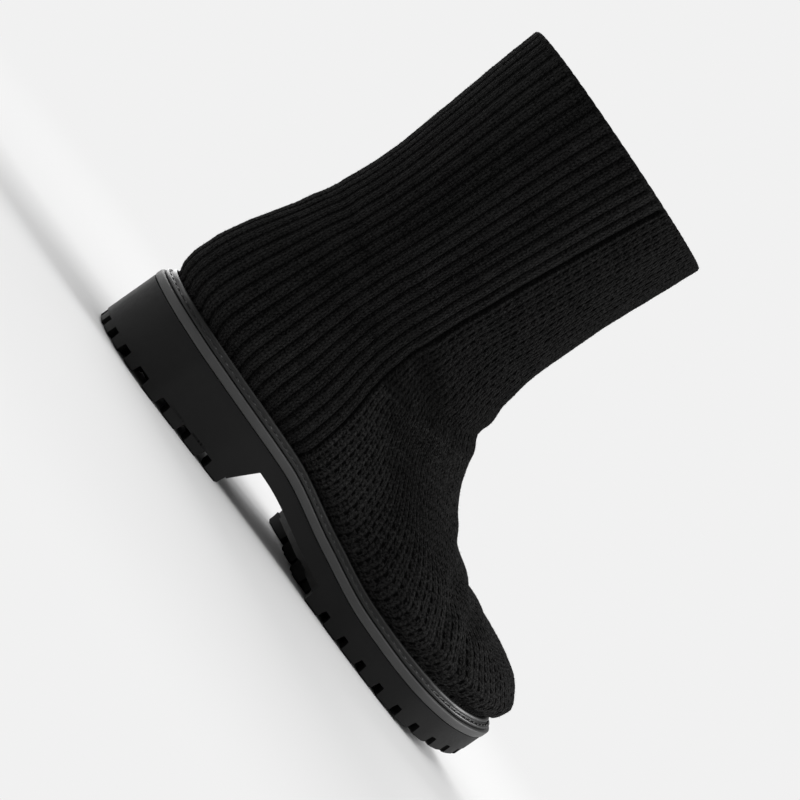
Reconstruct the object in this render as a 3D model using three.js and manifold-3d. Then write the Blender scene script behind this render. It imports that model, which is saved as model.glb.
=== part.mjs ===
// Wool ankle boot for the left foot: a knitted upper on a moulded lug sole.
// Millimetres. +X runs to the toe, +Y to the outer side of the foot, +Z up, the floor at zero.
import * as THREE from 'three';
import Module from 'manifold-3d';
import { mergeVertices } from 'three/addons/utils/BufferGeometryUtils.js';

const wasm = await Module();
wasm.setup();

// Driving sizes of the last and the sole
const soleLength = 262;
const ballWidth = 94;
const heelWall = 29;
const breastWall = 25.4;
const ballWall = 13.6;
const toeSpring = 10;
const bandThickness = 4;
const bandOverhang = 0.6;
const gap = 0.3;

// Driving sizes of the knitted upper
const knitWall = 2.4;
const instepRise = 80;
const collarRise = 185;
const shaftWidth = 76;

// Driving sizes of the welt, the insole and the arch insert
const weltWidth = 7.1;
const weltHeight = 4.2;
const heelWeltShare = 0.72;
const insoleThickness = 3;
const insertThickness = 1.6;
const insertDish = 1.1;
const archWall = 8;

// Driving sizes of the tread
const lugDepth = 5;
const lugWidth = 9.2;
const notchWidth = 4.4;
const lugReach = 13;
const finWidth = 9.6;
const finRoot = 2.4;
const finCount = 7;
const finSpread = 1.26;
const heelLugPitch = 15;
const starPitch = 15.5;
const starRadius = 6.8;
const edgeBevel = 1;
const heelLugRows = 4;
const starRows = 7;

// Shapes and places of the lugs, as shares of their own sizes
const lugShoulder = 0.55;
const lugTip = 0.55;
const starArm = 0.42;
const heelLugSetback = 0.6;
const heelStarShift = 0.2;
const hubShift = 0.35;
const starSpread = 0.72;
const starStagger = 0.45;
const toeClearance = 1.6;
const sideClearance = 0.8;

// Where things lie along the sole, as shares of its length
const breastAt = 0.302;
const breastLean = 7;
const treadStart = 0.532;
const treadSkew = 8;
const springStart = 0.715;
const insertStart = 0.342;
const insertEnd = 0.515;

// Half widths of the sole, as shares of the ball width, at shares of the length
const outlineRows = [
  { at: 0, outer: 0, inner: 0 },
  { at: 0.05, outer: 0.27, inner: 0.27 },
  { at: 0.12, outer: 0.339, inner: 0.343 },
  { at: 0.24, outer: 0.346, inner: 0.345 },
  { at: 0.38, outer: 0.348, inner: 0.327 },
  { at: 0.48, outer: 0.386, inner: 0.341 },
  { at: 0.56, outer: 0.454, inner: 0.389 },
  { at: 0.65, outer: 0.514, inner: 0.45 },
  { at: 0.71, outer: 0.52, inner: 0.47 },
  { at: 0.78, outer: 0.487, inner: 0.478 },
  { at: 0.86, outer: 0.415, inner: 0.44 },
  { at: 0.93, outer: 0.3, inner: 0.335 },
  { at: 0.975, outer: 0.182, inner: 0.208 },
  { at: 1, outer: 0, inner: 0 },
];

// Height of the moulded wall above the tread line, in millimetres taken from the driving sizes
const wallRows = [
  { at: 0, height: heelWall },
  { at: 0.18, height: (heelWall + breastWall) / 2 },
  { at: 0.35, height: breastWall },
  { at: 0.5, height: ballWall + (breastWall - ballWall) * 0.41 },
  { at: 0.63, height: ballWall + (breastWall - ballWall) * 0.03 },
  { at: 0.72, height: ballWall },
  { at: 1, height: ballWall },
];

// Levels of the upper from the sole edge to the collar. back and front are shares of the length.
// backRise and frontRise are shares of the instep's rise, and past 1 shares of the shaft above it.
// level says how far the ring has turned from the line of the sole to the level of the heel seat.
const levelRows = [
  { back: 0.0095, front: 0.9847, backRise: 0.125, frontRise: 0.105, level: 0 },
  { back: 0.0057, front: 0.987, backRise: 0.215, frontRise: 0.175, level: 0 },
  { back: 0.0061, front: 0.97, backRise: 0.313, frontRise: 0.256, level: 0 },
  { back: 0.0099, front: 0.94, backRise: 0.413, frontRise: 0.331, level: 0 },
  { back: 0.016, front: 0.884, backRise: 0.513, frontRise: 0.404, level: 0 },
  { back: 0.0229, front: 0.81, backRise: 0.6, frontRise: 0.46, level: 0 },
  { back: 0.0305, front: 0.729, backRise: 0.688, frontRise: 0.51, level: 0.1 },
  { back: 0.0382, front: 0.65, backRise: 0.775, frontRise: 0.6, level: 0.25 },
  { back: 0.0458, front: 0.584, backRise: 0.875, frontRise: 0.729, level: 0.45 },
  { back: 0.0523, front: 0.54, backRise: 0.988, frontRise: 0.9, level: 0.65 },
  { back: 0.0573, front: 0.516, backRise: 1.105, frontRise: 1.07, level: 0.85 },
  { back: 0.0592, front: 0.505, backRise: 1.257, frontRise: 1.238, level: 1 },
  { back: 0.0534, front: 0.505, backRise: 1.495, frontRise: 1.495, level: 1 },
  { back: 0.0439, front: 0.512, backRise: 1.78, frontRise: 1.78, level: 1 },
  { back: 0.0382, front: 0.518, backRise: 2, frontRise: 2, level: 1 },
];

// Half widths of each level at six places from its back to its front.
// The first nine levels are shares of the ball width, and the shaft's are shares of its own width.
const widthPlaces = [0.1, 0.3, 0.5, 0.7, 0.88, 0.96];
const footLevels = 9;
const outerWidths = [
  { heel: 0.302, quarter: 0.317, waist: 0.35, ball: 0.468, toe: 0.353, tip: 0.222 },
  { heel: 0.313, quarter: 0.327, waist: 0.361, ball: 0.479, toe: 0.364, tip: 0.23 },
  { heel: 0.303, quarter: 0.329, waist: 0.357, ball: 0.449, toe: 0.326, tip: 0.2 },
  { heel: 0.29, quarter: 0.33, waist: 0.35, ball: 0.418, toe: 0.298, tip: 0.184 },
  { heel: 0.28, quarter: 0.325, waist: 0.34, ball: 0.386, toe: 0.259, tip: 0.163 },
  { heel: 0.27, quarter: 0.32, waist: 0.333, ball: 0.357, toe: 0.262, tip: 0.15 },
  { heel: 0.266, quarter: 0.325, waist: 0.333, ball: 0.345, toe: 0.262, tip: 0.155 },
  { heel: 0.266, quarter: 0.33, waist: 0.335, ball: 0.335, toe: 0.255, tip: 0.16 },
  { heel: 0.266, quarter: 0.346, waist: 0.351, ball: 0.333, toe: 0.25, tip: 0.163 },
  { heel: 0.322, quarter: 0.441, waist: 0.454, ball: 0.421, toe: 0.307, tip: 0.19 },
  { heel: 0.322, quarter: 0.447, waist: 0.474, ball: 0.434, toe: 0.316, tip: 0.2 },
  { heel: 0.322, quarter: 0.454, waist: 0.487, ball: 0.447, toe: 0.329, tip: 0.205 },
  { heel: 0.329, quarter: 0.461, waist: 0.5, ball: 0.461, toe: 0.336, tip: 0.21 },
  { heel: 0.336, quarter: 0.467, waist: 0.507, ball: 0.467, toe: 0.342, tip: 0.213 },
  { heel: 0.336, quarter: 0.467, waist: 0.507, ball: 0.467, toe: 0.342, tip: 0.213 },
];
const innerWidths = [
  { heel: 0.302, quarter: 0.311, waist: 0.3, ball: 0.412, toe: 0.378, tip: 0.255 },
  { heel: 0.313, quarter: 0.321, waist: 0.311, ball: 0.423, toe: 0.389, tip: 0.264 },
  { heel: 0.303, quarter: 0.323, waist: 0.307, ball: 0.395, toe: 0.341, tip: 0.226 },
  { heel: 0.29, quarter: 0.323, waist: 0.305, ball: 0.365, toe: 0.306, tip: 0.205 },
  { heel: 0.28, quarter: 0.32, waist: 0.3, ball: 0.335, toe: 0.256, tip: 0.171 },
  { heel: 0.27, quarter: 0.32, waist: 0.307, ball: 0.315, toe: 0.245, tip: 0.148 },
  { heel: 0.266, quarter: 0.325, waist: 0.319, ball: 0.31, toe: 0.24, tip: 0.148 },
  { heel: 0.266, quarter: 0.335, waist: 0.33, ball: 0.315, toe: 0.238, tip: 0.152 },
  { heel: 0.266, quarter: 0.356, waist: 0.35, ball: 0.325, toe: 0.24, tip: 0.158 },
  { heel: 0.322, quarter: 0.454, waist: 0.467, ball: 0.428, toe: 0.307, tip: 0.19 },
  { heel: 0.322, quarter: 0.461, waist: 0.487, ball: 0.434, toe: 0.316, tip: 0.2 },
  { heel: 0.322, quarter: 0.454, waist: 0.487, ball: 0.447, toe: 0.329, tip: 0.205 },
  { heel: 0.329, quarter: 0.461, waist: 0.5, ball: 0.461, toe: 0.336, tip: 0.21 },
  { heel: 0.336, quarter: 0.467, waist: 0.507, ball: 0.467, toe: 0.342, tip: 0.213 },
  { heel: 0.336, quarter: 0.467, waist: 0.507, ball: 0.467, toe: 0.342, tip: 0.213 },
];

// Section of the welt ring: out is a share of its width from the outer edge, up of its height
const weltRows = [
  { out: 0.26, up: 0 },
  { out: 0.26, up: 0.3 },
  { out: 0.32, up: 0.38 },
  { out: 0.6, up: 0.42 },
  { out: 0.66, up: 0.82 },
  { out: 0.78, up: 1 },
  { out: 0.92, up: 0.94 },
  { out: 1, up: 0.7 },
  { out: 1, up: 0 },
];

// How finely the curved pieces are cut into facets
const sidePoints = 30;
const upperRings = 24;
const archSteps = 5;
const recessSteps = 40;
const plateRows = 8;
const plateColumns = 6;
const pathSteps = 400;

/** A smooth curve through the rows of a table that never overshoots them. */
function through(xs, ys) {
  const spans = xs.slice(1).map((x, i) => x - xs[i]);
  const slopes = spans.map((span, i) => (ys[i + 1] - ys[i]) / span);
  const tangents = xs.map((_, i) => {
    if (i === 0) return slopes[0];
    if (i === xs.length - 1) return slopes[i - 1];
    if (slopes[i - 1] * slopes[i] <= 0) return 0;
    const before = 2 * spans[i] + spans[i - 1];
    const after = spans[i] + 2 * spans[i - 1];
    return (before + after) / (before / slopes[i - 1] + after / slopes[i]);
  });
  return (x) => {
    let i = 0;
    while (i < spans.length - 1 && x > xs[i + 1]) i += 1;
    const t = THREE.MathUtils.clamp((x - xs[i]) / spans[i], 0, 1);
    const rise = ys[i + 1] - ys[i];
    const start = tangents[i] * spans[i];
    const end = tangents[i + 1] * spans[i];
    const square = 3 * rise - 2 * start - end;
    const cube = start + end - 2 * rise;
    return ys[i] + start * t + square * t ** 2 + cube * t ** 3;
  };
}

/** The turn from 0 at the back to PI at the front that a share of the length stands for. */
const turnOf = (share) => Math.acos(1 - 2 * share);
const shareOf = (turn) => (1 - Math.cos(turn)) / 2;

const outlineTurns = outlineRows.map((row) => turnOf(row.at));
const outerHalf = through(outlineTurns, outlineRows.map((row) => row.outer * ballWidth));
const innerHalf = through(outlineTurns, outlineRows.map((row) => row.inner * ballWidth));
const wallHeight = through(wallRows.map((row) => row.at), wallRows.map((row) => row.height));

/** Height of the tread line above the floor. */
function treadZ(x) {
  const past = Math.max(0, x / soleLength - springStart) / (1 - springStart);
  return toeSpring * past ** 2;
}

/** Height of the moulded wall's top edge. */
const wallTopZ = (x) => wallHeight(THREE.MathUtils.clamp(x / soleLength, 0, 1)) + treadZ(x);

/** Height of the band's top, which carries the welt, the upper and the insole. */
const seatZ = (x) => wallTopZ(x) + gap + bandThickness;

/** Width of the welt at a place along the sole: it narrows to the heel. */
function weltWidthAt(x) {
  const share = THREE.MathUtils.smoothstep(x / soleLength, breastAt, treadStart);
  return weltWidth * THREE.MathUtils.lerp(heelWeltShare, 1, share);
}

/** A closed ring of the sole's outline, seen from above and run anticlockwise from the heel. */
function outlineRing() {
  const ring = [];
  for (let i = 0; i < 2 * sidePoints; i += 1) {
    const inner = i <= sidePoints;
    const turn = (inner ? i : 2 * sidePoints - i) * Math.PI / sidePoints;
    ring.push(new THREE.Vector2(shareOf(turn) * soleLength, inner ? -innerHalf(turn) : outerHalf(turn)));
  }
  return ring;
}

/** The same ring moved inwards by an amount that may change along the sole. */
function insetRing(ring, inset) {
  return ring.map((point, i) => {
    const before = ring[(i + ring.length - 1) % ring.length];
    const after = ring[(i + 1) % ring.length];
    const along = after.clone().sub(before).normalize();
    const amount = typeof inset === 'function' ? inset(point.x) : inset;
    return new THREE.Vector2(point.x - along.y * amount, point.y + along.x * amount);
  });
}

/** Lifts a flat ring to a height that depends on the place along the sole. */
const raise = (ring, height) => ring.map((point) => new THREE.Vector3(point.x, point.y, height(point.x)));

/** Puts vertices and triangles into a geometry. */
function geometryFrom(vertices, triangles) {
  const geometry = new THREE.BufferGeometry();
  geometry.setAttribute('position', new THREE.Float32BufferAttribute(vertices.flatMap((v) => v.toArray()), 3));
  geometry.setIndex(triangles);
  geometry.computeVertexNormals();
  return geometry;
}

/** Triangles between neighbouring rows of a loft, whose rows all hold the same number of points. */
function sideTriangles(rowCount, pointCount, closed) {
  const triangles = [];
  const last = closed ? rowCount : rowCount - 1;
  for (let row = 0; row < last; row += 1) {
    const next = (row + 1) % rowCount;
    for (let i = 0; i < pointCount; i += 1) {
      const j = (i + 1) % pointCount;
      triangles.push(row * pointCount + i, row * pointCount + j, next * pointCount + j);
      triangles.push(row * pointCount + i, next * pointCount + j, next * pointCount + i);
    }
  }
  return triangles;
}

/** A ring-shaped solid: its rows go once round the section. */
function hoopSolid(rows) {
  return geometryFrom(rows.flat(), sideTriangles(rows.length, rows[0].length, true));
}

/** A plate: rows from its lower to its upper edge, closed by caps across from side to side. */
function plateSolid(rows) {
  const count = rows[0].length;
  const triangles = sideTriangles(rows.length, count, false);
  const top = (rows.length - 1) * count;
  for (let i = 0; i < count / 2; i += 1) {
    const a = i;
    const b = i + 1;
    const c = (count - i - 1) % count;
    const d = (count - i) % count;
    if (b !== c) {
      triangles.push(top + a, top + b, top + c);
      triangles.push(b, a, c);
    }
    if (a !== d) {
      triangles.push(top + a, top + c, top + d);
      triangles.push(c, a, d);
    }
  }
  return geometryFrom(rows.flat(), triangles);
}

/** A prism between two outlines of as many points, the lower one seen anticlockwise from above. */
function prism(lower, lowerZ, upper, upperZ) {
  const count = lower.length;
  const vertices = lower.map((p) => new THREE.Vector3(p.x, p.y, lowerZ));
  vertices.push(...upper.map((p) => new THREE.Vector3(p.x, p.y, upperZ)));
  const triangles = sideTriangles(2, count, false);
  for (const [a, b, c] of THREE.ShapeUtils.triangulateShape(lower, [])) {
    triangles.push(c, b, a);
    triangles.push(a + count, b + count, c + count);
  }
  return geometryFrom(vertices, triangles);
}

/** A slab over a grid of places, from a lower to an upper height at each of them. */
function slabSolid(xs, yAt, steps, lowerZ, upperZ) {
  const vertices = [];
  for (const height of [lowerZ, upperZ]) {
    for (const x of xs) {
      for (let j = 0; j <= steps; j += 1) {
        const side = 2 * j / steps - 1;
        vertices.push(new THREE.Vector3(x, yAt(x, side), height(x, side)));
      }
    }
  }
  const row = steps + 1;
  const top = xs.length * row;
  const triangles = [];
  const quad = (a, b, c, d) => triangles.push(a, b, c, a, c, d);
  for (let i = 0; i < xs.length - 1; i += 1) {
    for (let j = 0; j < steps; j += 1) {
      const a = i * row + j;
      quad(a, a + 1, a + row + 1, a + row);
      quad(top + a, top + a + row, top + a + row + 1, top + a + 1);
    }
    quad(i * row, (i + 1) * row, top + (i + 1) * row, top + i * row);
    quad((i + 1) * row + steps, i * row + steps, top + i * row + steps, top + (i + 1) * row + steps);
  }
  for (let j = 0; j < steps; j += 1) {
    quad(j + 1, j, top + j, top + j + 1);
    const end = (xs.length - 1) * row + j;
    quad(end, end + 1, top + end + 1, top + end);
  }
  return geometryFrom(vertices, triangles);
}

/** A closed geometry as a solid that can be joined and cut. */
function solidOf(geometry) {
  const bare = geometry.clone();
  bare.deleteAttribute('normal');
  const merged = mergeVertices(bare);
  const vertProperties = new Float32Array(merged.attributes.position.array);
  const triVerts = new Uint32Array(merged.index.array);
  return new wasm.Manifold(new wasm.Mesh({ numProp: 3, vertProperties, triVerts }));
}

/** The geometry of a joined or cut solid. */
function geometryOf(solid) {
  const mesh = solid.getMesh();
  const geometry = new THREE.BufferGeometry();
  geometry.setAttribute('position', new THREE.BufferAttribute(new Float32Array(mesh.vertProperties), 3));
  geometry.setIndex(new THREE.BufferAttribute(new Uint32Array(mesh.triVerts), 1));
  geometry.computeVertexNormals();
  return geometry;
}

/** Even steps from one number to another. */
const steps = (from, to, count) => Array.from({ length: count + 1 }, (_, i) => from + (to - from) * i / count);

const soleRing = outlineRing();

/** Half width of the upper at a level, at a place from its back to its front. */
function levelHalf(widths, index) {
  const unit = index < footLevels ? ballWidth : shaftWidth;
  const { heel, quarter, waist, ball, toe, tip } = widths[index];
  const ys = [0, heel, quarter, waist, ball, toe, tip, 0].map((share) => share * unit);
  return through([0, ...widthPlaces, 1].map(turnOf), ys);
}

/** A rise above the seat: up to 1 a share of the instep's rise, past 1 a share of the shaft above it. */
const riseOf = (share) => Math.min(share, 1) * instepRise + Math.max(share - 1, 0) * (collarRise - instepRise);

/** One level of the upper's outer face as a ring of points. */
function levelRing(index) {
  const row = levelRows[index];
  const inner = levelHalf(innerWidths, index);
  const outer = levelHalf(outerWidths, index);
  const ring = [];
  for (let i = 0; i < 2 * sidePoints; i += 1) {
    const onInner = i <= sidePoints;
    const turn = (onInner ? i : 2 * sidePoints - i) * Math.PI / sidePoints;
    const share = shareOf(turn);
    const x = THREE.MathUtils.lerp(row.back, row.front, share) * soleLength;
    const seat = THREE.MathUtils.lerp(seatZ(x), seatZ(0), row.level);
    const rise = THREE.MathUtils.lerp(riseOf(row.backRise), riseOf(row.frontRise), share);
    ring.push(new THREE.Vector3(x, onInner ? -inner(turn) : outer(turn), seat + rise));
  }
  return ring;
}

/** The outer face of the upper as rings from the sole edge to the collar. */
function upperFace() {
  const foot = insetRing(soleRing, (x) => weltWidthAt(x) + gap);
  const rings = [gap, weltHeight + 2 * gap].map((lift) => raise(foot, (x) => seatZ(x) + lift));
  levelRows.forEach((_, index) => rings.push(levelRing(index)));
  const order = rings.map((_, index) => index);
  const places = steps(0, rings.length - 1, upperRings);
  const columns = foot.map((_, i) => ['x', 'y', 'z'].map((axis) => {
    const values = rings.map((ring) => ring[i][axis]);
    return through(order, values);
  }));
  const pointAt = (column, place) => new THREE.Vector3(...column.map((curve) => curve(place)));
  return places.map((place) => columns.map((column) => pointAt(column, place)));
}

/** The inner face: each point moved in by the wall, level at the collar and at the sole edge. */
function innerFace(rings) {
  const last = rings.length - 1;
  return rings.map((ring, row) => ring.map((point, i) => {
    const around = ring[(i + 1) % ring.length].clone().sub(ring[(i + ring.length - 1) % ring.length]);
    const up = rings[Math.min(row + 1, last)][i].clone().sub(rings[Math.max(row - 1, 0)][i]);
    const outward = around.cross(up);
    if (row === 0 || row === last) outward.z = 0;
    return point.clone().addScaledVector(outward.normalize(), -knitWall);
  }));
}

/** The knitted upper: one hollow wall, open at the collar and underneath. */
function upper() {
  const outside = upperFace();
  const inside = innerFace(outside);
  return hoopSolid([...outside, ...inside.reverse()]);
}

/** The welt ring: a low flange for the stitches and a rounded bead against the upper. */
function welt() {
  const rows = weltRows.map((row) => {
    const ring = insetRing(soleRing, (x) => weltWidthAt(x) * row.out);
    return raise(ring, (x) => seatZ(x) + gap + weltHeight * row.up);
  });
  return hoopSolid(rows);
}

/** The grey band between the moulded sole and the welt. */
function band() {
  return plateSolid([
    raise(soleRing, (x) => wallTopZ(x) + gap),
    raise(soleRing, (x) => seatZ(x)),
  ]);
}

/** The insole, which lies inside the upper's lower edge. */
function insole() {
  const ring = insetRing(soleRing, (x) => weltWidthAt(x) + knitWall + 3 * gap);
  return plateSolid([
    raise(ring, (x) => seatZ(x) + gap),
    raise(ring, (x) => seatZ(x) + gap + insoleThickness),
  ]);
}

/** Height of the arch's underside beside the insert. */
const archZ = (x) => wallTopZ(x) - archWall;

/** The space under the arch, from the slanted heel breast to the skewed end of the tread. */
function archSpace() {
  const start = breastAt * soleLength;
  const reach = ballWidth;
  const sideView = (end) => {
    const places = steps(start + breastLean, end, archSteps);
    const roof = places.map((x) => new THREE.Vector2(x, archZ(x))).reverse();
    return [new THREE.Vector2(start, -lugDepth), new THREE.Vector2(end, -lugDepth), ...roof];
  };
  const end = treadStart * soleLength;
  const outerView = sideView(end - treadSkew / 2);
  const innerView = sideView(end + treadSkew / 2);
  return prism(outerView, -reach, innerView, reach).rotateX(Math.PI / 2);
}

/** Half width of the insert, which widens to the ball. */
function insertHalf(x, side) {
  const turn = turnOf(x / soleLength);
  const half = side < 0 ? innerHalf(turn) : outerHalf(turn);
  return half - archWall;
}

/** The smooth dished insert under the arch, or with a margin the pocket that holds it. */
function archPlate(margin) {
  const xs = steps(insertStart * soleLength - margin, insertEnd * soleLength + margin, plateRows);
  const yAt = (x, side) => side * (insertHalf(x, side) + margin);
  const dished = (x, side) => archZ(x) + insertDish * (1 - side ** 2);
  const lower = (x, side) => dished(x, side) - (margin > 0 ? archWall : 0);
  const upper = (x, side) => dished(x, side) + insertThickness + margin;
  return slabSolid(xs, yAt, plateColumns, lower, upper);
}

/** The point, inward direction and direction along the outline at a share of the length. */
function edgeFrame(share, side) {
  const half = side < 0 ? innerHalf : outerHalf;
  const small = 0.01;
  const at = (turn) => new THREE.Vector2(shareOf(turn) * soleLength, side * half(turn));
  const turn = turnOf(share);
  const along = at(Math.min(turn + small, Math.PI)).sub(at(Math.max(turn - small, 0))).normalize();
  const inward = new THREE.Vector2(side * along.y, -side * along.x);
  return { point: at(turn), along, inward };
}

/** A lug outline in the sole's plan, anticlockwise, from points along and in from a frame. */
function planOutline(frame, rows) {
  const outline = rows.map(([along, inward]) => frame.point.clone()
    .addScaledVector(frame.along, along)
    .addScaledVector(frame.inward, inward));
  return THREE.ShapeUtils.isClockWise(outline) ? outline.reverse() : outline;
}

/** An edge lug: flush with the side wall, narrowing to a blunt inner end. */
function edgeLug(frame, width) {
  const half = width / 2;
  const shoulder = lugReach * lugShoulder;
  const tip = half * lugTip;
  return planOutline(frame, [
    [-half, -lugReach / 2], [half, -lugReach / 2], [half, shoulder],
    [tip, lugReach], [-tip, lugReach], [-half, shoulder],
  ]);
}

/** A four-armed star lug around a point. */
function starLug(x, y) {
  const arm = starRadius * starArm;
  const corners = [];
  for (let i = 0; i < 4; i += 1) {
    const turn = i * Math.PI / 2 + Math.PI / 4;
    for (const [along, across] of [[arm, -arm], [starRadius, -arm], [starRadius, arm]]) {
      const corner = new THREE.Vector2(along, across).rotateAround(new THREE.Vector2(), turn);
      corners.push(corner.add(new THREE.Vector2(x, y)));
    }
  }
  return corners;
}

/** A fin at the back of the heel, widening from the hub to the edge. */
function heelFin(hub, turn) {
  const outward = new THREE.Vector2(Math.cos(turn), Math.sin(turn));
  const along = new THREE.Vector2(-outward.y, outward.x);
  const frame = { point: hub, along, inward: outward };
  const start = finRoot * 2;
  const reach = ballWidth / 2;
  return planOutline(frame, [
    [-finRoot / 2, start], [-finWidth / 2, reach], [finWidth / 2, reach], [finRoot / 2, start],
  ]);
}

/** Places along one side of the outline, from one turn to another. */
function edgePath(from, to, side) {
  return steps(0, 1, pathSteps).map((part) => ({ share: shareOf(THREE.MathUtils.lerp(from, to, part)), side }));
}

/** Places of the edge lugs round the forefoot, an even pitch apart along the outline. */
function forefootPlaces() {
  const pitch = lugWidth + notchWidth;
  const skew = treadSkew / soleLength / 2;
  const start = treadStart + lugWidth / soleLength / 2;
  const outer = edgePath(turnOf(start - skew), Math.PI, 1);
  const inner = edgePath(Math.PI, turnOf(start + skew), -1);
  const path = [...outer, ...inner];
  const places = path.map(({ share, side }) => edgeFrame(share, side).point);
  const walked = [0];
  for (let i = 1; i < places.length; i += 1) walked.push(walked[i - 1] + places[i].distanceTo(places[i - 1]));
  const total = walked[walked.length - 1];
  const count = Math.round(total / pitch);
  const nearest = (distance) => Math.max(walked.findIndex((length) => length >= distance - 1e-6), 0);
  return steps(0, total, count).map((distance) => path[nearest(distance)]);
}

/** Every lug's outline in the sole's plan. */
function lugOutlines() {
  const lugs = [];
  const firstHeelLug = breastAt * soleLength - lugWidth * heelLugSetback;
  const lastHeelLug = firstHeelLug - (heelLugRows - 1) * heelLugPitch;
  for (const x of steps(firstHeelLug, lastHeelLug, heelLugRows - 1)) {
    for (const side of [-1, 1]) lugs.push(edgeLug(edgeFrame(x / soleLength, side), lugWidth));
    lugs.push(starLug(x - heelLugPitch / 2 + lugWidth * heelStarShift, 0));
  }
  const hub = new THREE.Vector2(lastHeelLug - heelLugPitch * hubShift, 0);
  for (const turn of steps(-finSpread, finSpread, finCount - 1)) lugs.push(heelFin(hub, Math.PI + turn));
  for (const { share, side } of forefootPlaces()) lugs.push(edgeLug(edgeFrame(share, side), lugWidth));
  const firstStar = treadStart * soleLength + starRadius;
  const lastStar = soleLength - lugReach - starRadius * toeClearance;
  for (const x of steps(firstStar, lastStar, starRows - 1)) {
    const turn = turnOf(x / soleLength);
    const room = Math.min(innerHalf(turn), outerHalf(turn)) - lugReach - starRadius * sideClearance;
    const wide = Math.floor(room / (starPitch / 2)) > 1;
    const columns = wide ? [-starPitch * starSpread, starPitch * starSpread] : [0];
    for (const y of columns) lugs.push(starLug(x, y));
    if (wide) lugs.push(starLug(x + starPitch * starStagger, 0));
  }
  return lugs;
}

/** The moulded sole: side wall, heel block, arch and tread in one body. */
function outsole() {
  const bevelled = insetRing(soleRing, bandOverhang + edgeBevel);
  const wall = insetRing(soleRing, bandOverhang);
  const body = solidOf(plateSolid([
    raise(bevelled, treadZ),
    raise(wall, (x) => treadZ(x) + edgeBevel),
    raise(wall, wallTopZ),
  ]));
  const reach = ballWidth;
  const xs = steps(-lugDepth, soleLength + lugDepth, recessSteps);
  const below = (x) => treadZ(x) - 2 * lugDepth;
  let grooves = solidOf(slabSolid(xs, (x, side) => side * reach, 1, below, (x) => treadZ(x) + lugDepth));
  for (const outline of lugOutlines()) {
    const lug = prism(outline, -3 * lugDepth, outline, toeSpring + 3 * lugDepth);
    grooves = grooves.subtract(solidOf(lug));
  }
  return geometryOf(body.subtract(solidOf(archSpace())).subtract(solidOf(archPlate(gap))).subtract(grooves));
}

const finish = (color, roughness) => new THREE.MeshStandardMaterial({ color, roughness, metalness: 0 });
const blackRubber = finish(0x1c1c1d, 0.6);
const greyRubber = finish(0x5c5c5e, 0.55);
const glossRubber = finish(0x121213, 0.3);
const insertRubber = finish(0x6e6e70, 0.5);
const blackKnit = finish(0x121212, 1);
const blackFabric = finish(0x161616, 0.9);

/** Adds a named piece to the boot. */
function addPiece(boot, name, geometry, material) {
  const mesh = new THREE.Mesh(geometry, material);
  mesh.name = name;
  boot.add(mesh);
}

const boot = new THREE.Group();
addPiece(boot, 'outsole', outsole(), blackRubber);
addPiece(boot, 'arch_insert', archPlate(0), insertRubber);
addPiece(boot, 'midsole_band', band(), greyRubber);
addPiece(boot, 'storm_welt', welt(), glossRubber);
addPiece(boot, 'insole', insole(), blackFabric);
addPiece(boot, 'upper', upper(), blackKnit);

// The origin lies on the floor under the middle of the boot
const box = new THREE.Box3().setFromObject(boot);
const middle = box.getCenter(new THREE.Vector3());
boot.position.set(-middle.x, -middle.y, -box.min.z);

export default boot;
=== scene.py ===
"""A wool ankle boot for the left foot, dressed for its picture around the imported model.

The last is worked out in millimetres: x from the back of the sole to its tip, y to the outer
side of the foot, z up from the floor. Every finished mesh is then put into the frame in metres.
"""
import logging
import math
from dataclasses import dataclass, field
from enum import Enum
from functools import cached_property
from typing import Callable

import bmesh
import bpy
import numpy as np
from mathutils import Matrix, Vector


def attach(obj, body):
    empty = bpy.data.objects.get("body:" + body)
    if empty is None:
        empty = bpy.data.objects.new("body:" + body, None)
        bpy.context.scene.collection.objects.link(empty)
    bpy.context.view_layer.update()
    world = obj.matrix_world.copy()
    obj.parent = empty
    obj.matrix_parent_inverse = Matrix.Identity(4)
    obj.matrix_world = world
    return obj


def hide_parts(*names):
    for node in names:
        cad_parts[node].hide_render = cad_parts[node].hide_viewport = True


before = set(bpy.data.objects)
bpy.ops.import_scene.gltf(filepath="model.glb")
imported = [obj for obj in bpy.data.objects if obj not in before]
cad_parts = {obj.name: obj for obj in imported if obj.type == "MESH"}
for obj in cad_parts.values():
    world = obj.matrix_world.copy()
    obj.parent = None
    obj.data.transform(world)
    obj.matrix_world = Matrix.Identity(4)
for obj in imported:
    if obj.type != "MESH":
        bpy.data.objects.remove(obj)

log = logging.getLogger("boot")
METRES = 0.001
BODY = "root"
# Names of the maps that the knitted pieces carry
# The groove-shade map holds the relief's height as a share; the wool finish darkens its low places as painted
# shade
KNIT_MAP, GROOVE_SHADE_MAP, WIDE_MAP, MOSS_MAP = "knit", "depth", "wide", "moss"
# Each column of the lattice is shifted by a share of a period, which a sine of its number gives
SHIFT, SHIFT_TURN = 0.19, 12.9898
Array = np.ndarray
Field = Callable[[Array], Array]
Faces = list[list[int]]
Block = tuple[Array, Faces]
Piece = bpy.types.Object
Material = bpy.types.Material
Socket = bpy.types.NodeSocket


def smoothstep(x: Array, low: float, high: float) -> Array:
    """A soft step from 0 at low to 1 at high."""
    t = np.clip((x - low) / (high - low), 0, 1)
    return t * t * (3 - 2 * t)


def hermite(start: Array, end: Array, leave: Array, arrive: Array, t: Array) -> Array:
    """A cubic from start to end that leaves and arrives with the given slopes."""
    rise = end - start
    return start + leave * t + (3 * rise - 2 * leave - arrive) * t**2 + (leave + arrive - 2 * rise) * t**3


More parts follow.
